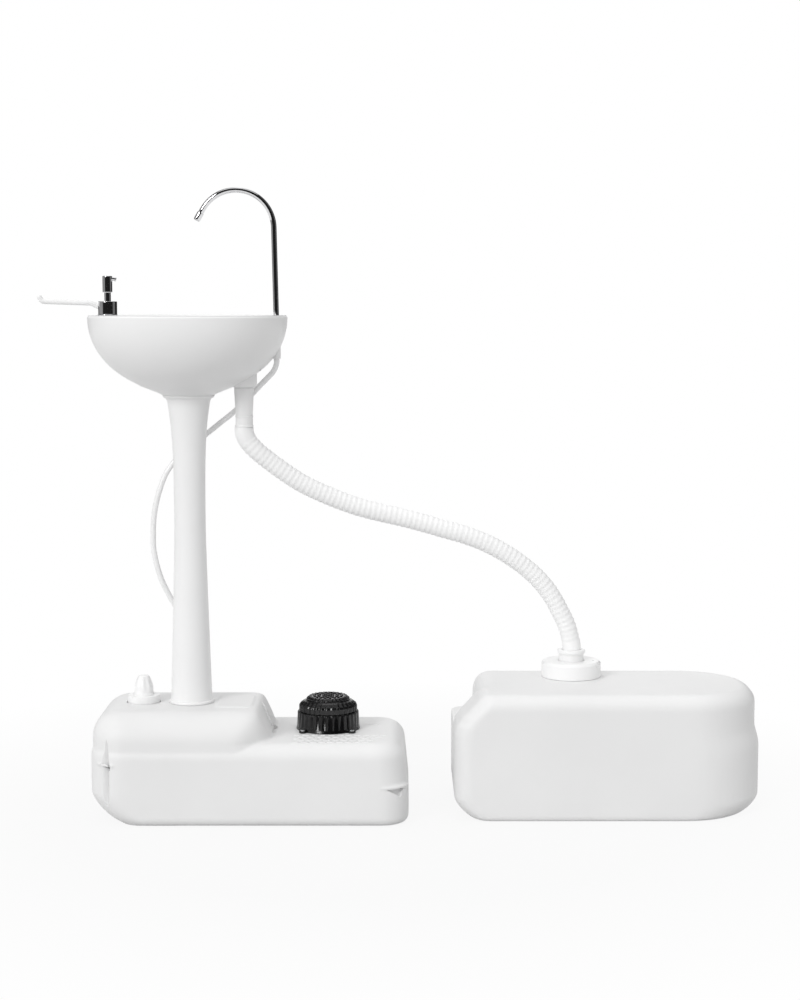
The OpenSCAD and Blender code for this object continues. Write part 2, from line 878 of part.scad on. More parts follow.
// Slotted foot that keeps grit out of the pickup tube
module pickup_strainer() {
    bottom = tank_wall + 0.5;
    color(WHITE)
        translate([pump_x + flap_x, pump_back, bottom])
            difference() {
                cylinder(r = pickup_r + 3.5, h = strainer_h);
                translate([0, 0, pickup_gap - 0.5])
                    cylinder(r = pickup_r + 0.1, h = strainer_h);
                translate([0, 0, 2])
                    cylinder(r = pickup_r - 1.8, h = strainer_h);
                for (i = [0:3])
                    rotate([0, 0, 45 * i])
                        translate([-20, -1, -1])
                            cube([40, 2, pickup_gap - 2]);
            }
}

// Duckbill check valve in the elbow
module outlet_valve() {
    color(GREY_SEAL)
        translate([pump_x, pump_back, line_z])
            rotate([0, 0, line_angle])
                translate([cup_r + 4, 0, 0])
                    rotate([0, 90, 0])
                        ring(line_r - 1.6, 1.2, elbow_l - 5);
}

module outlet_elbow() {
    color(WHITE)
        translate([pump_x, pump_back, line_z])
            rotate([0, 0, line_angle])
                difference() {
                    translate([cup_r - 0.5, 0, 0])
                        rotate([0, 90, 0]) {
                            cylinder(r = line_r + 3, h = 4);
                            cylinder(r = line_r, h = elbow_l);
                        }
                    translate([cup_r - 1, 0, 0])
                        rotate([0, 90, 0])
                            cylinder(r = line_r - 1.5, h = elbow_l + 2);
                    // Saddle that fits the cup
                    translate([0, 0, -20])
                        cylinder(r = cup_r, h = 40);
                }
}

// Tube inside the tank, from the pump to the outlet in the hump
module delivery_tube() {
    x0 = cup_r - 0.5 + elbow_l;
    top = hump_h - tank_wall - outlet_stem_l;
    color(CLEAR_TUBE)
        translate([pump_x, pump_back, line_z])
            rotate([0, 0, line_angle])
                translate([x0, 0, 0])
                    rotate([0, 90, 0])
                        hose(bent([
                            [line_reach - x0 - line_bend_r, 90, line_bend_r],
                            [top - line_z - line_bend_r, 0, 0]
                        ]), line_r, 16);
}

// Barbed fitting through the hump, behind the column
module tank_outlet() {
    color(WHITE)
        translate([outlet_x, outlet_y, hump_h - tank_wall - outlet_stem_l])
            difference() {
                union() {
                    cylinder(r = outlet_stem_r, h = outlet_stem_l + tank_wall);
                    translate([0, 0, outlet_stem_l + tank_wall])
                        cylinder(r = outlet_flange_r, h = outlet_flange_t);
                    translate([0, 0, outlet_stem_l + tank_wall + outlet_flange_t])
                        cylinder(r = supply_d / 2 + 1, h = outlet_barb_l);
                }
                translate([0, 0, -1])
                    cylinder(r = 2.5, h = 60);
            }
}

module outlet_nut() {
    color(WHITE)
        translate([outlet_x, outlet_y, hump_h - tank_wall - outlet_nut_t])
            difference() {
                cylinder(r = outlet_flange_r, h = outlet_nut_t, $fn = 6);
                translate([0, 0, -1])
                    cylinder(r = outlet_stem_r + 0.1, h = outlet_nut_t + 2);
            }
}

// ---------------------------------------------------------------- column

// Outer radius of the column at height z
function column_r(z) =
    z < waist_z
    ? column_waist_d / 2
        + (column_foot_d - column_waist_d) / 2 * pow((waist_z - z) / (waist_z - column_z), 1.2)
    : column_waist_d / 2
        + (throat_r - column_waist_d / 2) * pow((z - waist_z) / (neck_z - waist_z), 4);

function column_side(inset, n = 22) = [
    for (i = [0:n])
        let (z = column_z + lip_t + (neck_z - head_h - column_z - lip_t) * i / n)
        [column_r(z) - inset, z]
];

module column() {
    foot_r = column_foot_d / 2;
    head_r = column_head_d / 2;
    bore_foot = plug_d / 2 - column_wall;
    bore_head = spigot_d / 2 - column_wall;
    color(WHITE)
        difference() {
            rotate_extrude()
                polygon(concat(
                    [
                        [0, hump_h - plug_l + rest_gap],
                        [plug_d / 2 - 2, hump_h - plug_l + rest_gap],
                        [plug_d / 2, hump_h - plug_l + 4], [plug_d / 2, column_z],
                        [foot_r + foot_lip - 1, column_z], [foot_r + foot_lip, column_z + 1.5],
                        [foot_r + foot_lip - 0.5, column_z + 3.4], [foot_r + 1, column_z + lip_t - 0.4]
                    ],
                    column_side(0),
                    [
                        [head_r - 2.5, neck_z - 5], [head_r, neck_z - 2.5], [head_r, neck_z],
                        [spigot_d / 2, neck_z], [spigot_d / 2, neck_z + spigot_l - 2],
                        [spigot_d / 2 - 2, neck_z + spigot_l], [0, neck_z + spigot_l]
                    ]
                ));
            rotate_extrude()
                polygon(concat(
                    [
                        [0, hump_h - plug_l - 1], [bore_foot, hump_h - plug_l - 1],
                        [bore_foot, column_z + lip_t]
                    ],
                    [for (p = column_side(column_wall)) [min(p[0], bore_head), p[1]]],
                    [[bore_head, neck_z], [bore_head, neck_z + spigot_l + 1], [0, neck_z + spigot_l + 1]]
                ));
        }
}

// ---------------------------------------------------------------- basin

// Belly of the basin: radius at depth d below the rim, for a skin set in by t
function belly_r(d, t) =
    (basin_r - t) * sqrt(max(0, 1 - pow(d / (belly_depth - t), belly_power)));

// Depth at which the belly has radius r
function belly_d(r, t) =
    (belly_depth - t) * pow(1 - pow(r / (basin_r - t), 2), 1 / belly_power);

function belly_side(r_end, d_start, t, n) = [
    for (i = [0:n])
        let (d = d_start + (belly_d(r_end, t) - d_start) * sin(90 * i / n))
        [belly_r(d, t), rim_h - d]
];

module basin_outside() {
    rotate_extrude()
        polygon(concat(
            [
                [0, deck_z], [basin_r - bead_w, deck_z], [basin_r - bead_w + 2, rim_h - 0.3],
                [basin_r - bead_w / 2, rim_h], [basin_r - 1, rim_h - 0.8]
            ],
            belly_side(neck_r_basin + 3, 3, 0, 26),
            [
                [neck_r_basin + 0.5, neck_z + 3.5], [neck_r_basin, neck_z + 2],
                [neck_r_basin, neck_z], [0, neck_z]
            ]
        ));
}

// Bowl, grown by t for the skin under it
module bowl(t) {
    r = bowl_r + t;
    z = bowl_z - t;
    f = bowl_fillet + t;
    translate([bowl_cx, 0, 0])
        rotate_extrude()
            polygon(concat(
                [[0, z]],
                [for (a = [0:15:90]) [r - 6 - f + f * sin(a), z + f - f * cos(a)]],
                [[r, deck_z - mouth_r]],
                [
                    for (a = [22.5:22.5:90])
                        if (t == 0) [r + mouth_r * (1 - cos(a)), deck_z - mouth_r * (1 - sin(a))]
                ],
                [[r + mouth_r, deck_z + 5], [0, deck_z + 5]]
            ));
}

// Air space between the two skins
module basin_void() {
    t = basin_wall;
    difference() {
        rotate_extrude()
            polygon(concat(
                [[0, deck_z - t]],
                belly_side(neck_r_basin + 6, deck_z > rim_h - 2 - t ? t + 3 : t, t, 18),
                [[0, rim_h - belly_d(neck_r_basin + 6, t)]]
            ));
        bowl(t);
        // Neck socket
        translate([0, 0, neck_z - 5])
            cylinder(r = spigot_d / 2 + fit_gap + t, h = spigot_l + socket_gap + t + 5);
        // Drain boss
        translate([drain_x, 0, neck_z])
            cylinder(r = drain_boss_d / 2, h = basin_h);
        // Spout boss
        translate([spout_x, 0, neck_z])
            cylinder(r = bush_boss_r, h = basin_h);
        // Well of the soap bottle
        translate([soap_x, 0, soap_floor_z - 1 - soap_well_wall])
            cylinder(r = soap_bottle_r + fit_gap + soap_well_wall, h = basin_h);
        // Boss of the towel arm's peg
        translate([towel_x, towel_back, deck_z - towel_peg_l - 6])
            cylinder(r = towel_boss_r, h = basin_h);
    }
}

// Boss under the bowl that the tail pipe goes up to, with a rounded foot
module drain_boss() {
    r = drain_boss_d / 2;
    top = drain_seat_z - drain_boss_z - 1;
    rotate_extrude()
        polygon([[0, 0], [r - 5, 0], [r - 2, 1.5], [r - 0.5, 4], [r, 7], [r, top], [0, top]]);
}

module basin() {
    color(WHITE)
        difference() {
            union() {
                basin_outside();
                translate([drain_x, 0, drain_boss_z])
                    drain_boss();
            }
            bowl(0);
            basin_void();
            translate([0, 0, neck_z - 1])
                cylinder(r = spigot_d / 2 + fit_gap, h = spigot_l + socket_gap + 1);
            // Sump and drain hole
            translate([drain_x, 0, drain_seat_z])
                cylinder(r1 = drain_flange_r + 1.5, r2 = sump_r, h = sump_d + 0.01);
            translate([drain_x, 0, drain_boss_z - 1])
                cylinder(r = drain_thread_r + fit_gap, h = basin_h);
            // Spout hole
            translate([spout_x, 0, neck_z])
                cylinder(r = bush_r + fit_gap / 2, h = basin_h + 5);
            // Soap bottle hole
            translate([soap_x, 0, soap_floor_z - 1])
                cylinder(r = soap_bottle_r + fit_gap, h = basin_h);
            // Towel arm hole
            translate([towel_x, towel_back, deck_z - towel_peg_l - 1])
                cylinder(r = towel_r + fit_gap, h = basin_h);
        }
}

// ---------------------------------------------------------------- drain

module drain_gasket() {
    color(GREY_SEAL)
        translate([drain_x, 0, drain_seat_z])
            ring(drain_flange_r, drain_thread_r + fit_gap, drain_gasket_t);
}

// Chromed flange with strainer holes and a threaded tail
module drain_flange() {
    tail = drain_seat_z + drain_gasket_t - drain_boss_z + drain_thread_l - 0.5;
    color(CHROME)
        translate([drain_x, 0, drain_seat_z + drain_gasket_t])
            difference() {
                union() {
                    cylinder(r1 = drain_flange_r, r2 = drain_flange_r - 1, h = drain_flange_t);
                    translate([0, 0, -tail])
                        cylinder(r = drain_thread_r, h = tail + 1);
                }
                translate([0, 0, -tail - 1])
                    cylinder(r = tail_bore / 2 - 1, h = tail + 0.5);
                cylinder(r = 2, h = 20, center = true, $fn = 32);
                around(8, 6.5)
                    cylinder(r = 1.6, h = 20, center = true, $fn = 24);
            }
}

module drain_tail() {
    color(WHITE)
        translate([drain_x, 0, tail_z])
            difference() {
                cylinder(r1 = cuff_r, r2 = tail_r, h = tail_l);
                translate([0, 0, -1])
                    cylinder(r = tail_bore / 2, h = tail_l + 2);
                translate([0, 0, tail_l - drain_thread_l])
                    cylinder(r = drain_thread_r + 0.1, h = drain_thread_l + 1);
            }
}

// Cuff with a bead at each end, which grips the hose
module hose_cuff() {
    color(WHITE)
        translate([drain_x, 0, cuff_z])
            rotate_extrude()
                polygon([
                    [tail_bore / 2, 0], [cuff_r + 0.6, 0], [cuff_r + 1.2, 1], [cuff_r + 1.2, 3],
                    [cuff_r, 4], [cuff_r, cuff_l - 3], [cuff_r + 0.6, cuff_l - 2.4],
                    [cuff_r + 0.6, cuff_l - 0.6], [cuff_r, cuff_l], [tail_bore / 2, cuff_l]
                ]);
}

module drain_hose() {
    color(WHITE)
        hose(
            tied(drain_route, [drain_x, 0, cuff_z], [rec_cx, rec_cy, hose_seat_z]),
            drain_hose_d / 2, 12
        );
}

// ---------------------------------------------------------------- spout

// Bush that carries the spout leg and ends in the fitting for the supply tube
module spout_bush() {
    color(WHITE)
        translate([spout_x, 0, 0])
            difference() {
                union() {
                    translate([0, 0, deck_z])
                        cylinder(r = bush_flange_r, h = bush_flange_t);
                    translate([0, 0, bush_end_z])
                        cylinder(r = bush_r, h = deck_z - bush_end_z);
                }
                translate([0, 0, leg_z - rest_gap])
                    cylinder(r = spout_tube_r + 0.2, h = 100);
                translate([0, 0, bush_end_z - 1])
                    cylinder(r = 3, h = 100);
                // Groove of the seal
                translate([0, 0, seal_z])
                    cylinder(r = spout_tube_r + 1.6, h = 2);
            }
}

module spout_seal() {
    color(GREY_SEAL)
        translate([spout_x, 0, seal_z])
            ring(spout_tube_r + 1.5, spout_tube_r + 0.1, 2);
}

module gooseneck() {
    color(CHROME)
        translate([spout_x, 0, leg_z])
            difference() {
                hose(bent([
                    [rim_h + spout_rise - leg_z, spout_turn, spout_r],
                    [spout_end, 0, 0]
                ]), spout_tube_r, 24);
                translate([0, 0, -1])
                    cylinder(r = 3, h = rim_h + spout_rise - leg_z - 20);
            }
}

// Ribbed tip on the end of the spout
module spout_tip() {
    color(CHROME)
        translate([spout_x - spout_r, 0, rim_h + spout_rise])
            rotate([0, -spout_turn, 0])
                translate([spout_r, 0, spout_end])
                    difference() {
                        union() {
                            translate([0, 0, -4])
                                cylinder(r = spout_tube_r + 1, h = tip_l + 4 - 2);
                            cylinder(r = spout_tube_r + 0.4, h = tip_l);
                        }
                        translate([0, 0, -5])
                            cylinder(r = spout_tube_r, h = 5);
                        translate([0, 0, -1])
                            cylinder(r = 3, h = tip_l + 2);
                    }
}

module supply_tube() {
    color(CLEAR_TUBE)
        hose(
            tied(supply_route, [spout_x, 0, bush_end_z], [outlet_x, outlet_y, outlet_top_z]),
            supply_d / 2, 10
        );
}

// ---------------------------------------------------------------- soap dispenser

module soap_bottle() {
    color(WHITE)
        translate([soap_x, 0, 0])
            rotate_extrude()
                polygon([
                    [0, soap_floor_z], [soap_bottle_r - 3, soap_floor_z],
                    [soap_bottle_r, soap_floor_z + 3], [soap_bottle_r, deck_z],
                    [soap_bottle_r + 1.5, deck_z], [soap_bottle_r + 1.5, deck_z + soap_flange_t],
                    [soap_neck_r, deck_z + soap_flange_t], [soap_neck_r, soap_neck_z],
                    [soap_neck_r - 1.6, soap_neck_z], [soap_neck_r - 1.6, deck_z + 1],
                    [soap_bottle_r - 1.5, deck_z - 3], [soap_bottle_r - 1.5, soap_floor_z + 3],
                    [soap_bottle_r - 4, soap_floor_z + 1.5], [0, soap_floor_z + 1.5]
                ]);
}

// Pump barrel that hangs in the bottle
module soap_housing() {
    color(WHITE)
        translate([soap_x, 0, 0])
            rotate_extrude()
                polygon([
                    [2, soap_house_z], [soap_house_r, soap_house_z], [soap_house_r, soap_neck_z],
                    [soap_neck_r, soap_neck_z], [soap_neck_r, soap_neck_z + soap_lip],
                    [soap_stem_r + fit_gap, soap_neck_z + soap_lip],
                    [soap_stem_r + fit_gap, soap_neck_z],
                    [soap_house_r - 1.6, soap_neck_z - 3], [soap_house_r - 1.6, soap_seat_z],
                    [2, soap_seat_z]
                ]);
}

module soap_collar() {
    r = soap_collar_d / 2;
    color(CHROME)
        translate([soap_x, 0, soap_collar_z])
            rotate_extrude()
                polygon([
                    [soap_neck_r + 0.2, 0], [r + 0.8, 0], [r + 0.8, 1.5], [r, 2.2], [r, soap_collar_h - 1],
                    [r - 1, soap_collar_h], [soap_stem_r + fit_gap, soap_collar_h],
                    [soap_stem_r + fit_gap, soap_collar_h - soap_roof],
                    [soap_neck_r + 0.2, soap_collar_h - soap_roof]
                ]);
}

module soap_spring() {
    color(STEEL)
        translate([soap_x, 0, 0])
            coil(4.2, soap_coil, soap_turns, soap_seat_z, soap_stem_z);
}

// Stem with the piston at its lower end
module soap_stem() {
    color(CHROME)
        translate([soap_x, 0, soap_stem_z])
            difference() {
                union() {
                    cylinder(r = soap_stem_r, h = soap_stem_l);
                    cylinder(r = soap_house_r - 1.6 - 0.2, h = 4);
                }
                translate([0, 0, -1])
                    cylinder(r = 1.6, h = soap_stem_l - 4, $fn = 32);
            }
}

// Press head with its nozzle
module soap_head() {
    nozzle_r = 2.6;
    nozzle_l = 14.5;
    nozzle_z = soap_head_h - 5;
    color(CHROME)
        translate([soap_x, 0, soap_head_z])
            difference() {
                union() {
                    rotate_extrude()
                        polygon([
                            [0, 0], [soap_head_d / 2 - 0.4, 0], [soap_head_d / 2, 0.4],
                            [soap_head_d / 2, soap_head_h - 1.2],
                            [soap_head_d / 2 - 1.2, soap_head_h], [0, soap_head_h]
                        ]);
                    translate([0, 0, nozzle_z])
                        rotate([0, 96, 0])
                            cylinder(r1 = nozzle_r + 0.4, r2 = nozzle_r - 0.4, h = nozzle_l);
                }
                translate([0, 0, -1])
                    cylinder(r = soap_stem_r + 0.1, h = soap_socket + 1);
                translate([0, 0, soap_socket - 1])
                    cylinder(r = 1.6, h = nozzle_z - soap_socket + 1, $fn = 32);
                translate([0, 0, nozzle_z])
                    rotate([0, 96, 0])
                        cylinder(r = 1.2, h = nozzle_l + 1, $fn = 32);
            }
}

module dip_tube() {
    color(CLEAR_TUBE)
        translate([soap_x, 0, soap_floor_z + 3])
            ring(1.95, 1.1, soap_seat_z - soap_floor_z - 3);
}

// ---------------------------------------------------------------- towel arm

// Bent rod that turns on its peg behind the dispenser
module towel_arm() {
    bend = 9;
    peg = towel_peg_l + towel_lift - bend;
    color(WHITE)
        translate([towel_x, towel_back, deck_z - towel_peg_l]) {
            hose(bent([
                [peg, 90, bend], [6, -25, 14], [12, 23, 14],
                [towel_straight, -62, 8], [5, 0, 0]
            ]), towel_r, 20);
            translate([0, 0, towel_peg_l + rest_gap])
                cylinder(r = towel_r + 2.6, h = 2);
        }
}

// ---------------------------------------------------------------- recovery tank

// Plan outline of the recovery tank at height z, inside its outer face by t
function rec_ring(z, t) =
    let (
        h = rec_h - 2 * t,
        q = z - t,
        bevel_z = rec_h - rec_bevel,
        bevel = max(0, z - bevel_z),
        soft = 10 * max(0, 1 - abs(z - bevel_z) / 14),
        left = t + edge(q, h, rec_foot_left - t, 8 - t, foot_power) + bevel * 0.93 + soft * 0.3,
        sides = t + edge(q, h, rec_foot_r - t, rec_edge_r - t),
        step = rec_step * min(1, max(0, (z - rec_step_z) / 20)),
        right = t + step + edge(q, h, rec_foot_right - t, rec_edge_r - t)
    )
    at_height(outline(
        rec_x0 + left, rec_x1 - right,
        rec_back - rec_w / 2 + sides, rec_back + rec_w / 2 - sides,
        max(rec_corner_left - sides, 6), max(rec_corner_right - sides, 6)
    ), z);

module rec_body(t) {
    bevel_z = rec_h - rec_bevel;
    middle = [rec_step_z, rec_step_z + 10, rec_step_z + 20, bevel_z - 8, bevel_z, bevel_z + 8];
    edges = levels(rec_h - 2 * t, rec_foot_left - t, rec_edge_r - t);
    low = [for (z = edges) if (z < rec_h / 2) z + t];
    high = [for (z = edges) if (z > rec_h / 2) z + t];
    loft([for (z = concat(low, middle, high)) rec_ring(z, t)]);
}

// Space over the step at the back of the left end, grown by t, with a filleted floor. It
// rounds the edges of the tank's top above it.
module rec_notch(t) {
    z = rec_notch_z - t;
    y = rec_back + rec_w / 2 - rec_notch_w - t;
    x = rec_x0 + rec_notch_l + t;
    r = rec_notch_edge - t;
    above = rec_h + 20;
    loft([
        for (q = concat(
            [[z, 8], [z + 2.3, 2.3], [z + 8, 0]],
            [for (a = [0:22.5:90]) [rec_h - t - r * (1 - sin(a)), r * (cos(a) - 1)]],
            [[above, -r]]
        ))
            at_height(outline(rec_x0 - 20, x - q[1], y + q[1], y + rec_w, 14, 14), q[0])
    ]);
    // Upright corner at the back
    difference() {
        translate([x - 1, rec_back + rec_w / 2 - t - rec_notch_corner, z + 8])
            cube([rec_notch_corner + 1, rec_notch_corner + 20, above - z - 8]);
        translate([x + rec_notch_corner, rec_back + rec_w / 2 - t - rec_notch_corner, z])
            cylinder(r = rec_notch_corner, h = above);
    }
}

module recovery_tank() {
    color(WHITE)
        difference() {
            union() {
                difference() {
                    rec_body(0);
                    rec_notch(0);
                    difference() {
                        rec_body(tank_wall);
                        rec_notch(tank_wall);
                    }
                }
                translate([rec_cx, rec_cy, rec_h - tank_wall])
                    cylinder(r = rec_cap_r + 3, h = tank_wall + rec_pad_h);
                translate([rec_cx, rec_cy, rec_h - tank_wall])
                    cylinder(r = rec_neck_r, h = rec_neck_top - rec_h + tank_wall);
            }
            translate([rec_cx, rec_cy, rec_h - 30])
                cylinder(r = rec_neck_r - rec_neck_wall, h = 80);
        }
}

// Knurled ring that clamps the hose nipple on the neck
module recovery_cap() {
    r = rec_cap_r;
    color(WHITE)
        translate([rec_cx, rec_cy, rec_cap_z])
            difference() {
                rotate_extrude()
                    polygon([
                        [0, 0], [r - 0.8, 0], [r, 1], [r, rec_cap_h - 3], [r - 1, rec_cap_h - 1],
                        [r - 3, rec_cap_h], [0, rec_cap_h]
                    ]);
                translate([0, 0, -1])
                    cylinder(r = rec_neck_r + fit_gap, h = rec_cap_h - rec_lip_t + 1);
                cylinder(r = nipple_r + 1.2, h = 60);
                around(knurl_n, r + 1.3)
                    translate([0, 0, -1])
                        cylinder(r = 2.2, h = rec_cap_h - 4, $fn = 32);
            }
}

module recovery_seal() {
    color(GREY_SEAL)
        translate([rec_cx, rec_cy, rec_neck_top])
            ring(rec_neck_r, rec_neck_r - rec_neck_wall, rec_seal_t);
}

// Fitting that the drain hose goes on; the ring turns round it
module hose_nipple() {
    z0 = rec_neck_top + rec_seal_t;
    color(WHITE)
        translate([rec_cx, rec_cy, 0])
            rotate_extrude()
                polygon([
                    [nipple_bore, z0], [rec_neck_r, z0], [rec_neck_r, z0 + rec_flange_t - rest_gap],
                    [nipple_r, z0 + rec_flange_t - rest_gap], [nipple_r, nipple_top - 6],
                    [nipple_r - 2, nipple_top - 5], [nipple_r - 2, nipple_top - 3.5],
                    [nipple_r + 0.5, nipple_top - 3], [nipple_r + 0.5, nipple_top - 0.5],
                    [nipple_r, nipple_top], [drain_hose_d / 2 + fit_gap, nipple_top],
                    [drain_hose_d / 2 + fit_gap, hose_seat_z], [nipple_bore, hose_seat_z]
                ]);
}

// ---------------------------------------------------------------- nodes

fresh_tank();
fill_cap();
fill_cap_seal();
pump_gasket();
pump_cup();
pump_collar();
pump_screws();
boot_rim();
pump_boot();
pump_tread();
pump_spring();
inlet_flap();
pickup_tube();
pickup_strainer();
outlet_valve();
outlet_elbow();
delivery_tube();
tank_outlet();
outlet_nut();
column();
basin();
drain_gasket();
drain_flange();
drain_tail();
hose_cuff();
drain_hose();
spout_bush();
spout_seal();
gooseneck();
spout_tip();
supply_tube();
soap_bottle();
soap_housing();
soap_collar();
soap_spring();
soap_stem();
soap_head();
dip_tube();
towel_arm();
recovery_tank();
recovery_cap();
recovery_seal();
hose_nipple();
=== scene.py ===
import json
import math

import bmesh
import bpy
import numpy as np
from mathutils import Matrix, Vector


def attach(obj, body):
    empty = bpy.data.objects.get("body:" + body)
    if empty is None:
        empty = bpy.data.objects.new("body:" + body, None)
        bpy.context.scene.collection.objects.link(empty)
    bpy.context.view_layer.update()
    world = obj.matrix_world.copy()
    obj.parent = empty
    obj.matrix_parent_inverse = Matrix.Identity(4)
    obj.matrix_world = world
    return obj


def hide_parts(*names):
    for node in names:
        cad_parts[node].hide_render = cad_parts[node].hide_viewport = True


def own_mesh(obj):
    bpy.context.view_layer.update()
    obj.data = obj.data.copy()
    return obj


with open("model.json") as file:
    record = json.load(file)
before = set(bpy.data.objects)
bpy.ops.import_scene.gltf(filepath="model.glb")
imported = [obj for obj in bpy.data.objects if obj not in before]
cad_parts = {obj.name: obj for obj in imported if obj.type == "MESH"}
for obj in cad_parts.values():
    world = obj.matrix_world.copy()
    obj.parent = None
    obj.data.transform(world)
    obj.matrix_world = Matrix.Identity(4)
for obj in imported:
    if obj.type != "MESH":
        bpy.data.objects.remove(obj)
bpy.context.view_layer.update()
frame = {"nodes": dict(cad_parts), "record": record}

# Lengths are in millimetres, and become metres where a mesh is made. The hoses' routes, the camera
# and the lamps are in metres.
MM = 0.001

# Base tank
TANK_X0, TANK_X1 = -157, 357
TANK_W = 240
LEFT_CORNER, LEFT_CORNER_R = (-97, -60), 60
RIGHT_CORNER, RIGHT_CORNER_R = (312, -75), 45
DECK_H, HUMP_H = 133, 180
HUMP_X1, HUMP_LEAN = 137, 25
HUMP_EDGE_LEFT, HUMP_EDGE_SIDE, HUMP_CORNER = 42, 46, 70
PAD_X0, PAD_X1, PAD_HALF = 42, 104, 52
FOOT_LEFT, FOOT_SIDE, DECK_EDGE = 48, 14, 25
FOOT_POWER = 1.4
PLINTH_H, PLINTH_IN, PLINTH_SIDE = 7, 49, 9
PUMP = (224, 14)
COLLAR_TOP = 163
BOOT_Z = COLLAR_TOP + 0.3
TREAD_Z = BOOT_Z + 19
FILL_X = -79
OUTLET = (10, 58)

# Column and basin
COLUMN_Z, NECK_Z, RIM_H = 180.3, 686, 814
WAIST_Z, WAIST_R, FOOT_R, THROAT_R = 471, 25.5, 34, 37
PLUG_Z, PLUG_R = 118.3, 30
BASIN_R, BELLY_DEPTH, BELLY_POWER, NECK_R = 161, 127, 2.15, 47
BOWL_X, BOWL_R, BOWL_Z, BOWL_FILLET = 16, 112, 726, 20
DECK_Z = RIM_H - 2

# Fittings
DRAIN_X, DRAIN_Z = 90, 697
SPOUT_X, SPOUT_R, SPOUT_RISE, SPOUT_BEND, SPOUT_TURN = 143, 4.5, 140, 61, 150
SOAP_X, SOAP_COLLAR_Z, SOAP_HEAD_Z = -129, 813.5, 850.5
TOWEL = (-127, 34)

# Recovery tank. Its step at the back left is the notch.
REC_X0, REC_X1, REC_Y, REC_W, REC_H = 428, 941, 36, 248, 205
REC_CAP = (632, 85)
REC_FOOT_LEFT, REC_FOOT_RIGHT, REC_FOOT_SIDE, REC_EDGE = 36, 27, 8, 24
BEVEL_H, BEVEL_LEAN = 52, 0.93
STEP_Z, STEP_H, STEP_IN = 108, 38, 7.5
NOTCH_Z, NOTCH_X, NOTCH_Y = 140, 467, 18
NOTCH_EDGE, NOTCH_CORNER = 32, 38
REC_CORNER_LEFT, REC_CORNER_RIGHT = 30, 112
REC_CAP_Z, REC_CAP_TOP = 206.8, 233.8

# Camera, in metres and degrees
CAMERA_AT = (0.343, -3.181, 0.841)
CAMERA_DOWN, CAMERA_LENS = 5.87, 70.56

# Routes of the hoses, in metres
SUPPLY_ROUTE = [
    (0.143, 0, 0.744), (0.143, 0, 0.736), (0.138, 0.003, 0.724), (0.128, 0.008, 0.713),
    (0.115, 0.014, 0.700), (0.098, 0.021, 0.682), (0.073, 0.028, 0.658), (0.048, 0.033, 0.638),
    (0.023, 0.037, 0.618), (-0.003, 0.039, 0.598), (-0.025, 0.038, 0.578), (-0.042, 0.036, 0.555),
    (-0.052, 0.033, 0.530), (-0.059, 0.031, 0.504), (-0.063, 0.030, 0.478), (-0.064, 0.030, 0.455),
    (-0.064, 0.031, 0.432), (-0.060, 0.033, 0.406), (-0.053, 0.037, 0.380), (-0.043, 0.041, 0.356),
    (-0.031, 0.045, 0.333), (-0.017, 0.050, 0.304), (-0.005, 0.054, 0.272), (0.005, 0.057, 0.240),
    (0.010, 0.058, 0.212), (0.010, 0.058, 0.196),
]
DRAIN_ROUTE = [
    (0.090, 0, 0.633), (0.090, 0, 0.624), (0.096, 0.001, 0.610), (0.110, 0.003, 0.594),
    (0.129, 0.007, 0.578), (0.150, 0.010, 0.562), (0.179, 0.015, 0.542), (0.212, 0.020, 0.525),
    (0.244, 0.025, 0.511), (0.277, 0.029, 0.499), (0.310, 0.033, 0.490), (0.343, 0.038, 0.482),
    (0.376, 0.042, 0.473), (0.409, 0.046, 0.463), (0.443, 0.050, 0.453), (0.476, 0.054, 0.441),
    (0.508, 0.058, 0.425), (0.536, 0.062, 0.407), (0.560, 0.066, 0.388), (0.580, 0.069, 0.368),
    (0.597, 0.072, 0.345), (0.612, 0.076, 0.318), (0.624, 0.080, 0.292), (0.632, 0.085, 0.262),
    (0.632, 0.085, 0.244),
]


# ---------------------------------------------------------------- materials

def node_input(node, name, value):
    node.inputs[name].default_value = value


def new_material(name, color, roughness, metallic=0.0):
    """A principled material and its nodes."""
    material = bpy.data.materials.new(name)
    material.use_nodes = True
    nodes = material.node_tree.nodes
    shader = nodes["Principled BSDF"]
    node_input(shader, "Base Color", (*color, 1))
    node_input(shader, "Roughness", roughness)
    node_input(shader, "Metallic", metallic)
    return material, nodes, material.node_tree.links, shader


def noise(nodes, links, scale, detail=4.0, stretch=(1, 1, 1)):
    """Noise in the object's own space, so it stays put when the piece moves."""
    place = nodes.new("ShaderNodeTexCoord")
    mapping = nodes.new("ShaderNodeMapping")
    node_input(mapping, "Scale", stretch)
    texture = nodes.new("ShaderNodeTexNoise")
    node_input(texture, "Scale", scale)
    node_input(texture, "Detail", detail)
    links.new(place.outputs["Object"], mapping.inputs["Vector"])
    links.new(mapping.outputs["Vector"], texture.inputs["Vector"])
    return texture.outputs["Fac"]


def spread(nodes, links, value, low, high):
    """The value, from 0 to 1, spread from low to high."""
    ramp = nodes.new("ShaderNodeMapRange")
    node_input(ramp, "From Min", 0.3)
    node_input(ramp, "From Max", 0.7)
    node_input(ramp, "To Min", low)
    node_input(ramp, "To Max", high)
    links.new(value, ramp.inputs["Value"])
    return ramp.outputs["Result"]


def tint(nodes, links, value, dark, light):
    """A colour that runs from dark to light with the value."""
    ramp = nodes.new("ShaderNodeValToRGB")
    ramp.color_ramp.elements[0].position = 0.3
    ramp.color_ramp.elements[1].position = 0.7
    ramp.color_ramp.elements[0].color = (*dark, 1)
    ramp.color_ramp.elements[1].color = (*light, 1)
    links.new(value, ramp.inputs["Fac"])
    return ramp.outputs["Color"]


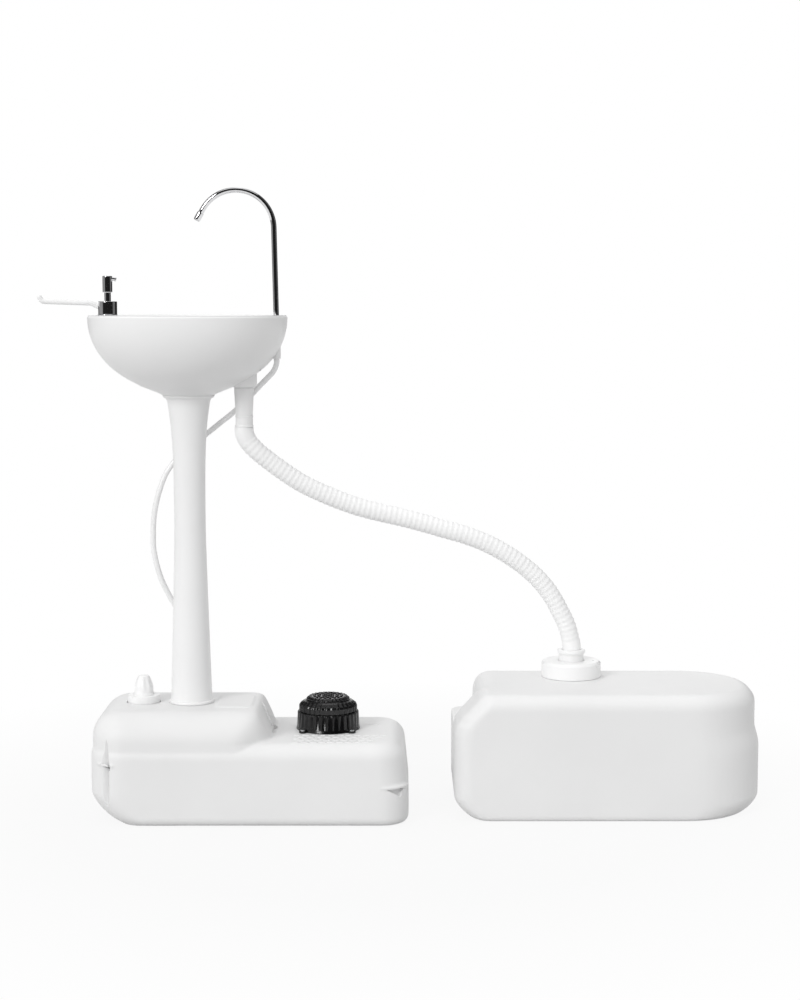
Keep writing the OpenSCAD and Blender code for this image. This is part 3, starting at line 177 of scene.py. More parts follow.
def bump(nodes, links, shader, height, distance):
    """Relief on the material, as deep as the distance in metres."""
    node = nodes.new("ShaderNodeBump")
    node_input(node, "Distance", distance)
    node_input(node, "Strength", 1.0)
    links.new(height, node.inputs["Height"])
    links.new(node.outputs["Normal"], shader.inputs["Normal"])


def plastic(name, dark, light, rough_low, rough_high, grain, depth, patches=6.0, glow=0.0):
    """Moulded plastic or rubber: a soft change of tone, a fine grain and uneven gloss."""
    material, nodes, links, shader = new_material(name, light, rough_low)
    tone = noise(nodes, links, patches, 3)
    links.new(tint(nodes, links, tone, dark, light), shader.inputs["Base Color"])
    gloss = noise(nodes, links, patches * 7, 5)
    links.new(spread(nodes, links, gloss, rough_low, rough_high), shader.inputs["Roughness"])
    bump(nodes, links, shader, noise(nodes, links, grain, 2), depth)
    if glow:
        node_input(shader, "Subsurface Weight", glow)
        node_input(shader, "Subsurface Radius", (0.006, 0.006, 0.006))
        node_input(shader, "Subsurface Scale", 1.0)
    return material


def metal(name, color, rough_low, rough_high, grain, depth, stretch=(1, 1, 1)):
    """Bright metal with fine polishing marks."""
    material, nodes, links, shader = new_material(name, color, rough_low, 1.0)
    marks = noise(nodes, links, grain, 4, stretch)
    links.new(spread(nodes, links, marks, rough_low, rough_high), shader.inputs["Roughness"])
    bump(nodes, links, shader, marks, depth)
    return material


def make_materials():
    white = plastic("moulded_white", (0.775, 0.775, 0.775), (0.805, 0.805, 0.805), 0.50, 0.60,
                    900, 0.00006, glow=0.06)
    smooth = plastic("smooth_white", (0.83, 0.83, 0.83), (0.86, 0.86, 0.86), 0.36, 0.46,
                     1200, 0.00003, glow=0.06)
    fitting = plastic("fitting_white", (0.845, 0.845, 0.845), (0.87, 0.87, 0.87), 0.26, 0.36,
                      1400, 0.00002, glow=0.08)
    return {
        "white_plastic": white,
        "smooth_white": smooth,
        "white_fitting": fitting,
        "hose_plastic": plastic("hose_white", (0.89, 0.89, 0.89), (0.92, 0.92, 0.92), 0.38, 0.5,
                                700, 0.00004, glow=0.3),
        "tube_plastic": plastic("tube_milky", (0.84, 0.84, 0.84), (0.89, 0.89, 0.89), 0.18, 0.28,
                                500, 0.00002, glow=0.25),
        "black_rubber": plastic("rubber_black", (0.003, 0.003, 0.0033), (0.007, 0.007, 0.0073),
                                0.17, 0.27, 1200, 0.00003, patches=20),
        "black_plastic": plastic("plastic_black", (0.003, 0.003, 0.0033), (0.007, 0.007, 0.0073),
                                 0.14, 0.23, 1500, 0.00002, patches=20),
        "grey_seal": plastic("seal_grey", (0.16, 0.16, 0.16), (0.24, 0.24, 0.24), 0.5, 0.7,
                             1500, 0.00008, patches=25),
        "steel": metal("steel_wire", (0.56, 0.57, 0.58), 0.22, 0.36, 1200, 0.00003, (1, 1, 8)),
        "chrome": metal("chrome_plate", (0.72, 0.72, 0.73), 0.04, 0.09, 900, 0.000003),
    }


# ---------------------------------------------------------------- mesh helpers

def rounded(points, steps=5):
    """Outline through (x, y) or (x, y, radius) points, with an arc at each point with a radius."""
    out = []
    for i, point in enumerate(points):
        if len(point) == 2:
            out.append(point)
            continue
        here = np.array(point[:2], float)
        before = np.array(points[i - 1][:2], float) - here
        after = np.array(points[(i + 1) % len(points)][:2], float) - here
        room = min(np.linalg.norm(before), np.linalg.norm(after)) * 0.48
        before /= np.linalg.norm(before)
        after /= np.linalg.norm(after)
        half = math.acos(max(-1, min(1, float(before @ after)))) / 2
        cut = min(point[2] / max(math.tan(half), 1e-6), room)
        for k in range(steps + 1):
            t = k / steps
            a, b = here + before * cut, here + after * cut
            out.append(tuple((1 - t) ** 2 * a + 2 * t * (1 - t) * here + t * t * b))
    return out


def crease(mesh, angle=35):
    """Smooth shading, with a crease at each edge that turns by more than the angle."""
    work = bmesh.new()
    work.from_mesh(mesh)
    bmesh.ops.recalc_face_normals(work, faces=work.faces)
    for face in work.faces:
        face.smooth = True
    for edge in work.edges:
        edge.smooth = len(edge.link_faces) == 2 and edge.calc_face_angle(0) < math.radians(angle)
    work.to_mesh(mesh)
    work.free()


def piece(name, vertices, faces, body="stand", slot="white_plastic", nodes=(), angle=35, look=None):
    """A piece of the object from a mesh in millimetres."""
    mesh = bpy.data.meshes.new(name)
    mesh.from_pydata([[c * MM for c in v] for v in vertices], [], faces)
    crease(mesh, angle)
    obj = bpy.data.objects.new(name, mesh)
    bpy.context.scene.collection.objects.link(obj)
    return dress(obj, body, slot, nodes, look)


def dress(obj, body, slot, nodes=(), look=None):
    """Gives the object its material, which is its slot's unless another look is named."""
    obj.data.materials.clear()
    obj.data.materials.append(materials[look or slot])
    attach(obj, body)
    if nodes:
        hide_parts(*nodes)
    return obj


def revolved(profile, at=(0, 0), segments=96, wave=None, closed=False):
    """Vertices and faces of a profile of (r, z) turned about a vertical axis. wave gives a change of
    radius from the angle, the radius and the height."""
    vertices, rings = [], []
    for r, z in profile:
        if r < 1e-6:
            rings.append([len(vertices)])
            vertices.append((at[0], at[1], z))
            continue
        rings.append(list(range(len(vertices), len(vertices) + segments)))
        for k in range(segments):
            a = 2 * math.pi * k / segments
            rr = r + (wave(a, r, z) if wave else 0)
            vertices.append((at[0] + rr * math.cos(a), at[1] + rr * math.sin(a), z))
    faces = []
    for a, b in zip(rings, rings[1:] + (rings[:1] if closed else [])):
        if len(a) == 1 and len(b) == 1:
            continue
        for k in range(segments):
            n = (k + 1) % segments
            corners = [a[k % len(a)], a[n % len(a)], b[n % len(b)], b[k % len(b)]]
            faces.append(list(dict.fromkeys(corners)))
    return vertices, faces


def lathe(name, profile, at=(0, 0), segments=96, wave=None, closed=False, **kind):
    """A piece of the object, turned from a profile."""
    vertices, faces = revolved(profile, at, segments, wave, closed)
    return piece(name, vertices, faces, **kind)


def lofted(rings):
    """Vertices and faces of a closed skin over rings of equal length."""
    n = len(rings[0])
    vertices = [v for ring in rings for v in ring]
    faces = [list(range(n))[::-1], [(len(rings) - 1) * n + i for i in range(n)]]
    for k in range(len(rings) - 1):
        for i in range(n):
            j = (i + 1) % n
            faces.append([k * n + i, k * n + j, (k + 1) * n + j, (k + 1) * n + i])
    return vertices, faces


def smooth_route(route, step):
    """Points at about the given distance along a smooth curve through the route."""
    points = [np.array(p, float) for p in route]
    points = [2 * points[0] - points[1]] + points + [2 * points[-1] - points[-2]]
    dense = []
    for a, b, c, d in zip(points, points[1:], points[2:], points[3:]):
        for t in np.linspace(0, 1, 24, endpoint=False):
            dense.append(0.5 * (2 * b + (c - a) * t + (2 * a - 5 * b + 4 * c - d) * t ** 2
                                + (3 * b - a - 3 * c + d) * t ** 3))
    dense.append(points[-2])
    dense = np.array(dense)
    run = np.concatenate([[0], np.cumsum(np.linalg.norm(np.diff(dense, axis=0), axis=1))])
    count = max(2, round(run[-1] / step))
    want = np.linspace(0, run[-1], count + 1)
    return np.stack([np.interp(want, run, dense[:, i]) for i in range(3)], axis=1), want


def swept(points, radii, sides, start=(0, 1, 0.01)):
    """Vertices and faces of a round rod along points, with a radius at each."""
    points = np.asarray(points, float)
    ahead = np.gradient(points, axis=0)
    ahead /= np.linalg.norm(ahead, axis=1)[:, None]
    rings, u = [], np.array(start, float)
    for point, t, r in zip(points, ahead, radii):
        u = u - (u @ t) * t
        u /= np.linalg.norm(u)
        w = np.cross(t, u)
        rings.append([point + r * (math.cos(a) * u + math.sin(a) * w)
                      for a in np.linspace(0, 2 * math.pi, sides, endpoint=False)])
    return lofted(rings)


def bent(steps, at=(0, 0, 0), arc_step=6):
    """Points of a rod in the XZ plane that starts upwards. Each step is a straight length, then a
    bend by an angle towards -X (or +X where it is negative) about a radius."""
    x, y, z = at
    lean, out = 0.0, [(x, y, z)]
    for straight, turn, radius in steps:
        a = math.radians(lean)
        x, z = x - straight * math.sin(a), z + straight * math.cos(a)
        out.append((x, y, z))
        if turn:
            r = math.copysign(radius, turn)
            cx, cz = x - r * math.cos(a), z - r * math.sin(a)
            n = math.ceil(abs(turn) / arc_step)
            for k in range(1, n + 1):
                b = math.radians(lean + turn * k / n)
                out.append((cx + r * math.cos(b), y, cz + r * math.sin(b)))
            x, z = out[-1][0], out[-1][2]
            lean += turn
    return out


def rod(name, points, radius, sides=32, tip=0.6, **kind):
    """Rod along points with round-edged ends."""
    points = [np.array(p, float) for p in points]
    first, last = points[1] - points[0], points[-1] - points[-2]
    first, last = first / np.linalg.norm(first), last / np.linalg.norm(last)
    ends = [(0, 0.55), (0.12, 0.8), (0.45, 0.95), (1, 1)]
    head = [(points[0] + first * tip * a, radius - tip * (1 - b) * 2) for a, b in ends]
    tail = [(points[-1] - last * tip * a, radius - tip * (1 - b) * 2) for a, b in ends[::-1]]
    path = [p for p, _ in head] + points[1:-1] + [p for p, _ in tail]
    radii = [r for _, r in head] + [radius] * len(points[1:-1]) + [r for _, r in tail]
    vertices, faces = swept(path, radii, sides)
    return piece(name, vertices, faces, **kind)


def solid(vertices, faces):
    """A throwaway object for a cut or a join, in millimetres."""
    mesh = bpy.data.meshes.new("tool")
    mesh.from_pydata([[c * MM for c in v] for v in vertices], [], faces)
    work = bmesh.new()
    work.from_mesh(mesh)
    bmesh.ops.recalc_face_normals(work, faces=work.faces)
    work.to_mesh(mesh)
    work.free()
    obj = bpy.data.objects.new("tool", mesh)
    bpy.context.scene.collection.objects.link(obj)
    return obj


def applied(obj):
    """Replaces the object's mesh by what its modifiers make of it."""
    bpy.context.view_layer.update()
    graph = bpy.context.evaluated_depsgraph_get()
    mesh = bpy.data.meshes.new_from_object(obj.evaluated_get(graph))
    obj.modifiers.clear()
    obj.data = mesh
    return obj


def combined(obj, tool, operation):
    """The object with the tool cut from it or joined to it."""
    modifier = obj.modifiers.new("combine", "BOOLEAN")
    modifier.operation = operation
    modifier.solver = "EXACT"
    modifier.object = tool
    applied(obj)
    bpy.data.objects.remove(tool)
    return obj


def moulded(name, parts, voxel, weight, passes, body, slot, nodes):
    """Overlapping solids made into one soft-edged skin. weight says how much each point is smoothed."""
    vertices, faces = [], []
    for v, f in parts:
        faces += [[i + len(vertices) for i in face] for face in f]
        vertices += list(v)
    obj = solid(vertices, faces)
    obj.name = name
    remesh = obj.modifiers.new("skin", "REMESH")
    remesh.mode = "VOXEL"
    remesh.voxel_size = voxel * MM
    remesh.adaptivity = 0
    applied(obj)
    group = obj.vertex_groups.new(name="soft")
    for i, vertex in enumerate(obj.data.vertices):
        group.add([i], weight(*(vertex.co / MM)), "REPLACE")
    smoother = obj.modifiers.new("soften", "SMOOTH")
    smoother.factor = 0.5
    smoother.iterations = passes
    smoother.vertex_group = "soft"
    applied(obj)
    obj.vertex_groups.clear()
    return dress(obj, body, slot, nodes)


# ---------------------------------------------------------------- tanks

def edge(z, h, low, high, power=2):
    """Inset of a wall at height z of h, with edge radii low and high. A power under 2 flattens the
    low edge towards a bevel."""
    if z < low:
        return low * (1 - (1 - (1 - z / low) ** power) ** (1 / power))
    if z > h - high:
        return high - math.sqrt(max(0, high ** 2 - (z - h + high) ** 2))
    return 0


def outline(x0, x1, y0, y1, left, right, steps=14):
    """Rounded rectangle in plan, with its own corner radius at each end."""
    corners = [(x1 - right, y1 - right, right, 0), (x0 + left, y1 - left, left, 90),
               (x0 + left, y0 + left, left, 180), (x1 - right, y0 + right, right, 270)]
    points = []
    for cx, cy, r, start in corners:
        for k in range(steps + 1):
            a = math.radians(start + 90 * k / steps)
            points.append((cx + r * math.cos(a), cy + r * math.sin(a)))
    return points


def at_height(points, z):
    return [(x, y, z) for x, y in points]


def levels(h, low, high, steps=12):
    """Heights that follow the two edge radii of a body of height h."""
    turns = [math.radians(90 * k / steps) for k in range(steps + 1)]
    return [low * (1 - math.cos(a)) for a in turns] + [h - high * (1 - math.sin(a)) for a in turns]


def tank_low():
    """Low body of the base tank."""
    rings = []
    for z in levels(DECK_H, FOOT_LEFT, DECK_EDGE):
        sides = edge(z, DECK_H, FOOT_SIDE, DECK_EDGE)
        left = edge(z, DECK_H, FOOT_LEFT, DECK_EDGE, FOOT_POWER)
        right = 10 * max(0, 2 * z / DECK_H - 1) + edge(z, DECK_H, FOOT_SIDE - 2, 23)
        points = outline(TANK_X0 + left, TANK_X1 - right, -TANK_W / 2 + sides, TANK_W / 2 - sides,
                         max(LEFT_CORNER_R - sides, 8), max(RIGHT_CORNER_R - sides, 8))
        rings.append(at_height(points, z))
    return lofted(rings)


def tank_plinth():
    """Low plinth under the left end, which shows as a small step below the bevelled foot."""
    rings = []
    for z, inset in ((0, 2), (1.5, 0), (PLINTH_H, 0)):
        points = outline(TANK_X0 + PLINTH_IN + inset, 0, -TANK_W / 2 + PLINTH_SIDE + inset,
                         TANK_W / 2 - PLINTH_SIDE - inset, 34, 20)
        rings.append(at_height(points, z))
    return lofted(rings)


def tank_hump():
    """Raised part of the base tank, with its slope on the right."""
    rings = []
    rise = HUMP_H - DECK_H
    for z in [DECK_H - 30] + [HUMP_H - rise * (1 - math.sin(math.radians(3 * k))) for k in range(31)]:
        sides = 3 + edge(z, HUMP_H, 0, HUMP_EDGE_SIDE)
        left = 3 + edge(z, HUMP_H, 0, HUMP_EDGE_LEFT)
        right = HUMP_LEAN * (z - DECK_H) / rise + edge(z, HUMP_H, 0, 8)
        corner = HUMP_CORNER - 1.15 * max(0, z - DECK_H)
        points = outline(TANK_X0 + left, HUMP_X1 - right, -TANK_W / 2 + sides, TANK_W / 2 - sides,
                         max(LEFT_CORNER_R - sides, 12), corner)
        rings.append(at_height(points, z))
    return lofted(rings)


def tank_pad():
    """Low raised pad on the hump, between the column and the slope."""
    rings = []
    for z, inset in ((HUMP_H - 3, 0), (HUMP_H, 0), (HUMP_H + 2, 4)):
        points = outline(PAD_X0 + inset, PAD_X1 - inset, -PAD_HALF + inset, PAD_HALF - inset, 14, 14)
        rings.append(at_height(points, z))
    return lofted(rings)


def upright(at, r, low, high, segments=64):
    """A plain upright cylinder."""
    return revolved([(0, low), (r, low), (r, high), (0, high)], at, segments)


def prism(corners, depth, at, turn):
    """A prism from a plan of (across, up) corners, pointing along its depth, turned about Z."""
    a = math.radians(turn)
    rings = [[(at[0] + u * math.cos(a) - d * math.sin(a), at[1] + u * math.sin(a) + d * math.cos(a), v)
              for u, v in corners] for d in (-depth, depth)]
    return lofted(rings)


def corner_lip(centre, r, low, high, start, end):
    """Thin lip round a vertical corner, tapered at both ends."""
    points, radii = [], []
    for k in range(25):
        t = k / 24
        a = math.radians(start + (end - start) * t)
        points.append((centre[0] + r * math.cos(a), centre[1] + r * math.sin(a), (low + high) / 2))
        radii.append((high - low) / 2 * (0.35 + 0.65 * math.sin(math.pi * t)))
    return swept(points, radii, 16, (0, 0, 1))


def corner_groove():
    """Soft upright groove down the front left corner, which fades out at both ends."""
    inward, along = np.array([0.5, 0.866]), np.array([0.866, -0.5])
    start = np.array(LEFT_CORNER) - LEFT_CORNER_R * inward
    section = [(-12, -1.5), (-9.5, 0), (-5.5, 2), (-2.6, 5), (0, 10), (2.6, 5), (5.5, 2), (9.5, 0),
               (12, -1.5)]
    rings = []
    count = 21
    for k in range(count):
        fade = math.sin(math.pi * (k + 0.5) / count) ** 0.5
        plan = [start + u * along + (d * fade if d > 0 else d - 3 * (1 - fade)) * inward
                for u, d in section]
        rings.append(at_height([tuple(point) for point in plan], 22 + 6 * k))
    return lofted(rings)


def tank_cuts():
    """What is cut from the base tank's skin: holes for the fittings, the groove and the pockets."""
    fill_recess = revolved([(0, HUMP_H - 4.6), (27, HUMP_H - 4.6), (28.5, HUMP_H + 1),
                            (28.5, HUMP_H + 9), (0, HUMP_H + 9)], (FILL_X, 0), 96)
    left_pocket = prism([(-8.5, 98.5), (8, 97.5), (8, 93), (4, 88)], 20, (-127, -112), -30)
    right_pocket = prism([(-20, 61), (13, 61), (5, 47)], 8, (340, -110), 40)
    slope_foot = prism([(-3, 130), (3, 130), (3, 136), (-3, 141)], 29, (137, -8), 0)
    return [upright((FILL_X, 0), 17, 24, HUMP_H + 20),
            upright(PUMP, 42, DECK_H - 60, DECK_H + 20),
            upright((0, 0), 30.4, HUMP_H - 62, HUMP_H + 20),
            upright(OUTLET, 6.4, HUMP_H - 12, HUMP_H + 20),
            corner_groove(), left_pocket, right_pocket, slope_foot, fill_recess]


def deck_dent():
    """Shallow oval dent in the deck, to the right of the pump."""
    vertices, faces = revolved([(0, DECK_H - 1.5), (7, DECK_H - 1.5), (9, DECK_H + 0.5),
                                (9, DECK_H + 3), (0, DECK_H + 3)], (0, 0), 48)
    dent_x, dent_y = 298, 38
    return solid([(dent_x + 1.4 * x, dent_y + 0.8 * y, z) for x, y, z in vertices], faces)


def slope_bead():
    """Raised bead down the hump's slope, thin at both ends."""
    route = [(115, 12, 177), (119, 8, 169), (124, 1, 158), (129, -5, 149), (134, -9, 141)]
    bead, _ = smooth_route(route, 2)
    radii = [1.7 * min(1, (k + 1) / 6, (len(bead) - k) / 6) + 0.2 for k in range(len(bead))]
    vertices, faces = swept(bead, radii, 16)
    piece("slope_bead", vertices, faces)


def base_tank():
    """Fresh water tank, with the necks of its fill cap and its pump."""
    def softness(x, y, z):
        near_root = max(0, 1 - abs(z - 137) / 14) * max(0, 1 - abs(x - 132) / 30)
        return min(1, 0.1 + near_root * 1.2)

    parts = [tank_low(), tank_plinth(), tank_hump(), tank_pad(),
             corner_lip(LEFT_CORNER, LEFT_CORNER_R + 0.5, 97, 102, 221, 255),
             corner_lip(RIGHT_CORNER, RIGHT_CORNER_R + 0.5, 61, 66, 272, 350)]
    tank = moulded("fresh_tank_shell", parts, 1.8, softness, 50, "stand", "white_plastic",
                   ["fresh_tank"])
    for vertices, faces in tank_cuts():
        combined(tank, solid(vertices, faces), "DIFFERENCE")
    combined(tank, deck_dent(), "DIFFERENCE")
    crease(tank.data, 40)
    slope_bead()
    neck = rounded([(17, HUMP_H - 5), (21, HUMP_H - 5), (21, HUMP_H + 9, 1), (17, HUMP_H + 9, 1)])
    lathe("fill_neck", neck, (FILL_X, 0), 96, closed=True)
    neck = rounded([(42, DECK_H - 5), (46, DECK_H - 5), (46, DECK_H + 16, 1), (42, DECK_H + 16, 1)])
    lathe("pump_neck", neck, PUMP, 128, closed=True)


def deck_ribs():
    """Rows of low dashes on the deck in front of the pump."""
    vertices, faces = [], []
    first_x, first_y, along, back = 176, -45, 14, 12.5
    for row in range(5):
        for k in range(11):
            x = first_x + along * k + 7 * (row % 2)
            y = first_y - back * row
            if x > 322 - 6 * row:
                continue
            rings = [at_height(outline(x - 5.5 + q, x + 5.5 - q, y - 2.2 + q, y + 2.2 - q, 1.5, 1.5, 3), z)
                     for q, z in ((0, DECK_H - 1.5), (0, DECK_H + 0.2), (0.5, DECK_H + 0.8))]
            v, f = lofted(rings)
            faces += [[i + len(vertices) for i in face] for face in f]
            vertices += v
    piece("deck_tread_ribs", vertices, faces)


def recovery_ring(z):
    """Outline of the recovery tank at one height: bevelled at the left, stepped in at the right."""
    bevel_z = REC_H - BEVEL_H
    bevel = max(0, z - bevel_z)
    soft = 3 * max(0, 1 - abs(z - bevel_z) / 14)
    left = 3 + edge(z, REC_H, REC_FOOT_LEFT, 8, FOOT_POWER) + bevel * BEVEL_LEAN + soft
    sides = edge(z, REC_H, REC_FOOT_SIDE, REC_EDGE)
    step = 0.5 - 0.5 * math.cos(math.pi * min(1, max(0, (z - STEP_Z) / STEP_H)))
    right = 3 + STEP_IN * step + edge(z, REC_H, REC_FOOT_RIGHT, 26, FOOT_POWER)
    points = outline(REC_X0 + left, REC_X1 - right, REC_Y - REC_W / 2 + sides,
                     REC_Y + REC_W / 2 - sides, max(REC_CORNER_LEFT - sides, 6),
                     max(REC_CORNER_RIGHT - sides, 6))
    return at_height(points, z)


def notch_space():
    """Space over the step at the back of the left end. It rounds the tank's edges above it."""
    rings = [(NOTCH_Z, 8), (NOTCH_Z + 2.3, 2.3), (NOTCH_Z + 8, 0)]
    for k in range(7):
        a = math.radians(15 * k)
        rings.append((REC_H - NOTCH_EDGE * (1 - math.sin(a)), NOTCH_EDGE * (math.cos(a) - 1)))
    rings.append((REC_H + 20, -NOTCH_EDGE))
    return lofted([at_height(outline(REC_X0 - 20, NOTCH_X - q, NOTCH_Y + q, REC_Y + REC_W, 14, 14), z)
                   for z, q in rings])


def notch_back_corner():
    """What the rounded upright corner at the back leaves out."""
    back = REC_Y + REC_W / 2
    low_corner = [(NOTCH_X - 1, back + 1)]
    arc = [(NOTCH_X + NOTCH_CORNER * (1 - math.cos(math.radians(7.5 * k))),
            back - NOTCH_CORNER * (1 - math.sin(math.radians(7.5 * k)))) for k in range(13)]
    points = low_corner + [(NOTCH_X - 1, back - NOTCH_CORNER)] + arc + [(NOTCH_X + NOTCH_CORNER, back + 1)]
    return lofted([at_height(points, NOTCH_Z + 8), at_height(points, REC_H + 20)])


def recovery_tank():
    """Recovery tank, with the neck of its cap."""
    heights = sorted(levels(REC_H, REC_FOOT_LEFT, REC_EDGE)
                     + [108, 114, 120, 127, 134, 140, 146, 149, 153, 157, 161, 167])
    body = solid(*lofted([recovery_ring(z) for z in heights]))
    combined(body, solid(*notch_space()), "DIFFERENCE")
    combined(body, solid(*notch_back_corner()), "DIFFERENCE")
    corners = [tuple(v.co / MM) for v in body.data.vertices]
    sides = [list(face.vertices) for face in body.data.polygons]
    bpy.data.objects.remove(body)
    pad = revolved(rounded([(0, REC_H - 4), (53, REC_H - 4), (53, REC_H + 1.5, 1.5), (0, REC_H + 1.5)]),
                   REC_CAP)
    tank = moulded("recovery_tank_shell", [(corners, sides), pad], 2.0,
                   lambda x, y, z: 0.35, 24, "stand", "white_plastic", ["recovery_tank"])
    tool = solid(*revolved([(0, REC_H - 20), (38, REC_H - 20), (38, REC_H + 30), (0, REC_H + 30)],
                           REC_CAP, 64))
    combined(tank, tool, "DIFFERENCE")
    crease(tank.data, 40)
    neck = rounded([(38, REC_H - 5), (44, REC_H - 5), (44, 219.3, 1), (38, 219.3, 1)])
    lathe("recovery_neck", neck, REC_CAP, 96, closed=True)


def knurl(count, depth, low, high, sharp=1.0):
    """Wave that cuts rounded grooves into a side between two heights."""
    def wave(angle, r, z):
        if not low < z < high:
            return 0
        fade = min(1, (z - low) / 2, (high - z) / 2)
        return -depth * fade * (0.5 - 0.5 * math.cos(count * angle)) ** sharp
    return wave


def column_points(low, high, count, inset=0):
    """Side of the column between two heights."""
    points = []
    for z in np.linspace(low, high, count):
        if z < WAIST_Z:
            grow = (FOOT_R - WAIST_R) * ((WAIST_Z - z) / (WAIST_Z - COLUMN_Z)) ** 1.2
        else:
            grow = (THROAT_R - WAIST_R) * ((z - WAIST_Z) / (NECK_Z - WAIST_Z)) ** 4
        points.append((WAIST_R + grow - inset, float(z)))
    return points


def column():
    """Waisted column, with the plug at its foot and the spigot at its head."""
    foot = rounded([(27, PLUG_Z), (PLUG_R, PLUG_Z, 1.5), (PLUG_R, COLUMN_Z), (37, COLUMN_Z, 1.2),
                    (37, COLUMN_Z + 4, 1.8), (34.6, COLUMN_Z + 4.6)])
    head = rounded([(39.5, NECK_Z - 6, 3), (42, NECK_Z - 2.5, 2), (42, NECK_Z, 0.6), (28, NECK_Z),
                    (28, NECK_Z + 22, 2), (25, NECK_Z + 22)])
    side = column_points(COLUMN_Z + 5, NECK_Z - 10, 60)
    inside = [(min(r, 25), z) for r, z in column_points(COLUMN_Z + 5, NECK_Z - 10, 30, 3)][::-1]
    lathe("column_shell", foot + side + head + inside + [(27, COLUMN_Z)], segments=128,
          closed=True, nodes=["column"], look="smooth_white")


def basin_outside():
    """Profile of the basin from its deck over the rim, down the belly and the cone to the joint."""
    def belly_r(d):
        return BASIN_R * math.sqrt(max(0, 1 - (d / BELLY_DEPTH) ** BELLY_POWER))

    cone_r = 88
    last = BELLY_DEPTH * (1 - (cone_r / BASIN_R) ** 2) ** (1 / BELLY_POWER)
    side = [3 + (last - 3) * math.sin(math.radians(1.5 * k)) for k in range(61)]
    rim = rounded([(0, DECK_Z), (BASIN_R - 7, DECK_Z, 1.5), (BASIN_R - 4, RIM_H, 2),
                   (BASIN_R - 1, RIM_H, 1.5)])
    joint = rounded([(77, NECK_Z + 14.2), (NECK_R, NECK_Z + 2.2, 4), (NECK_R - 3.5, NECK_Z, 0.8),
                     (28.4, NECK_Z, 0.5), (28.4, NECK_Z + 23.5), (0, NECK_Z + 23.5)])
    return rim + [(belly_r(d), RIM_H - d) for d in side] + joint


def bowl_space():
    """Profile of the bowl, rounded at its floor and at its mouth."""
    turns = [math.radians(7.5 * k) for k in range(13)]
    wall = BOWL_R - 6
    floor = [(wall - BOWL_FILLET * (1 - math.sin(a)), BOWL_Z + BOWL_FILLET * (1 - math.cos(a)))
             for a in turns]
    mouth = [(BOWL_R + 4 * (1 - math.cos(a)), DECK_Z - 4 * (1 - math.sin(a))) for a in turns]
    return [(0, BOWL_Z)] + floor + mouth + [(BOWL_R + 4, DECK_Z + 6), (0, DECK_Z + 6)]


def basin():
    """Basin with its bowl, its drain boss and the holes for its fittings."""
    shell = solid(*revolved(basin_outside(), segments=192))
    shell.name = "basin_shell"
    boss = rounded([(0, DRAIN_Z), (21, DRAIN_Z, 8), (21, DRAIN_Z + 25.5), (0, DRAIN_Z + 25.5)])
    combined(shell, solid(*revolved(boss, (DRAIN_X, 0), 96)), "UNION")
    combined(shell, solid(*revolved(bowl_space(), (BOWL_X, 0), 192)), "DIFFERENCE")
    holes = [((DRAIN_X, 0), [(0, 690), (13.4, 690), (13.4, 723), (18.5, 723.5), (36, 726.01), (36, 727),
                             (0, 727)]),
             ((SPOUT_X, 0), [(0, 690), (7.1, 690), (7.1, 830), (0, 830)]),
             ((SOAP_X, 0), [(0, 766), (16.4, 766), (16.4, 830), (0, 830)]),
             (TOWEL, [(0, 789), (4.6, 789), (4.6, 830), (0, 830)])]
    for at, profile in holes:
        combined(shell, solid(*revolved(profile, at, 64)), "DIFFERENCE")
    crease(shell.data, 30)
    dress(shell, "stand", "white_plastic", ["basin"], "smooth_white")


# ---------------------------------------------------------------- fittings

def fill_cap():
    """Cap over the fill neck, with a stepped grip."""
    z = HUMP_H + 0.3
    skirt = rounded([(0, z + 10), (21.4, z + 10), (21.4, z - 4.4), (26, z - 4.4, 0.8),
                     (26, z + 12, 1.8), (0, z + 12)])
    grip = rounded([(17.4, z + 11), (17.4, z + 13, 1.2), (15.8, z + 15.5, 1.2), (15.5, z + 26, 3),
                    (14, z + 31, 3), (12, z + 37, 3), (8.4, z + 43.6, 3), (0, z + 43.6)])
    ribs = knurl(30, 0.8, z - 2.5, z + 11)
    wings = knurl(8, 1.1, z + 15, z + 41, 1.3)
    lathe("fill_cap_skirt", skirt, (FILL_X, 0), 240, ribs, body="fill_cap", slot="white_fitting",
          nodes=["fill_cap"])
    lathe("fill_cap_grip", [(0, z + 11)] + grip, (FILL_X, 0), 240, wings, body="fill_cap",
          slot="white_fitting")


def pump_collar():
    """Fluted clamping collar, with the ears of its four screws."""
    low = DECK_H + 0.3
    collar = rounded([(46.4, low), (53, low, 0.8), (52.3, low + 2.2, 0.6), (51.5, low + 5, 1),
                      (50.5, COLLAR_TOP, 2.5), (43, COLLAR_TOP, 0.8), (43, 158.6), (46.4, 158.6)])
    lathe("pump_collar_ring", collar, PUMP, 384, knurl(32, 1.5, low + 5, COLLAR_TOP + 3), closed=True,
          slot="black_plastic", nodes=["pump_collar"])
    ear = rounded([(2.2, low), (6.5, low, 0.5), (6.5, low + 3, 0.6), (2.2, low + 3, 0.4)])
    ear_at = 56.5
    for k, angle in enumerate((45, 135, 225, 315)):
        a = math.radians(angle)
        spot = (PUMP[0] + ear_at * math.cos(a), PUMP[1] + ear_at * math.sin(a))
        lathe(f"pump_ear_{k}", ear, spot, 48, closed=True, slot="black_plastic")


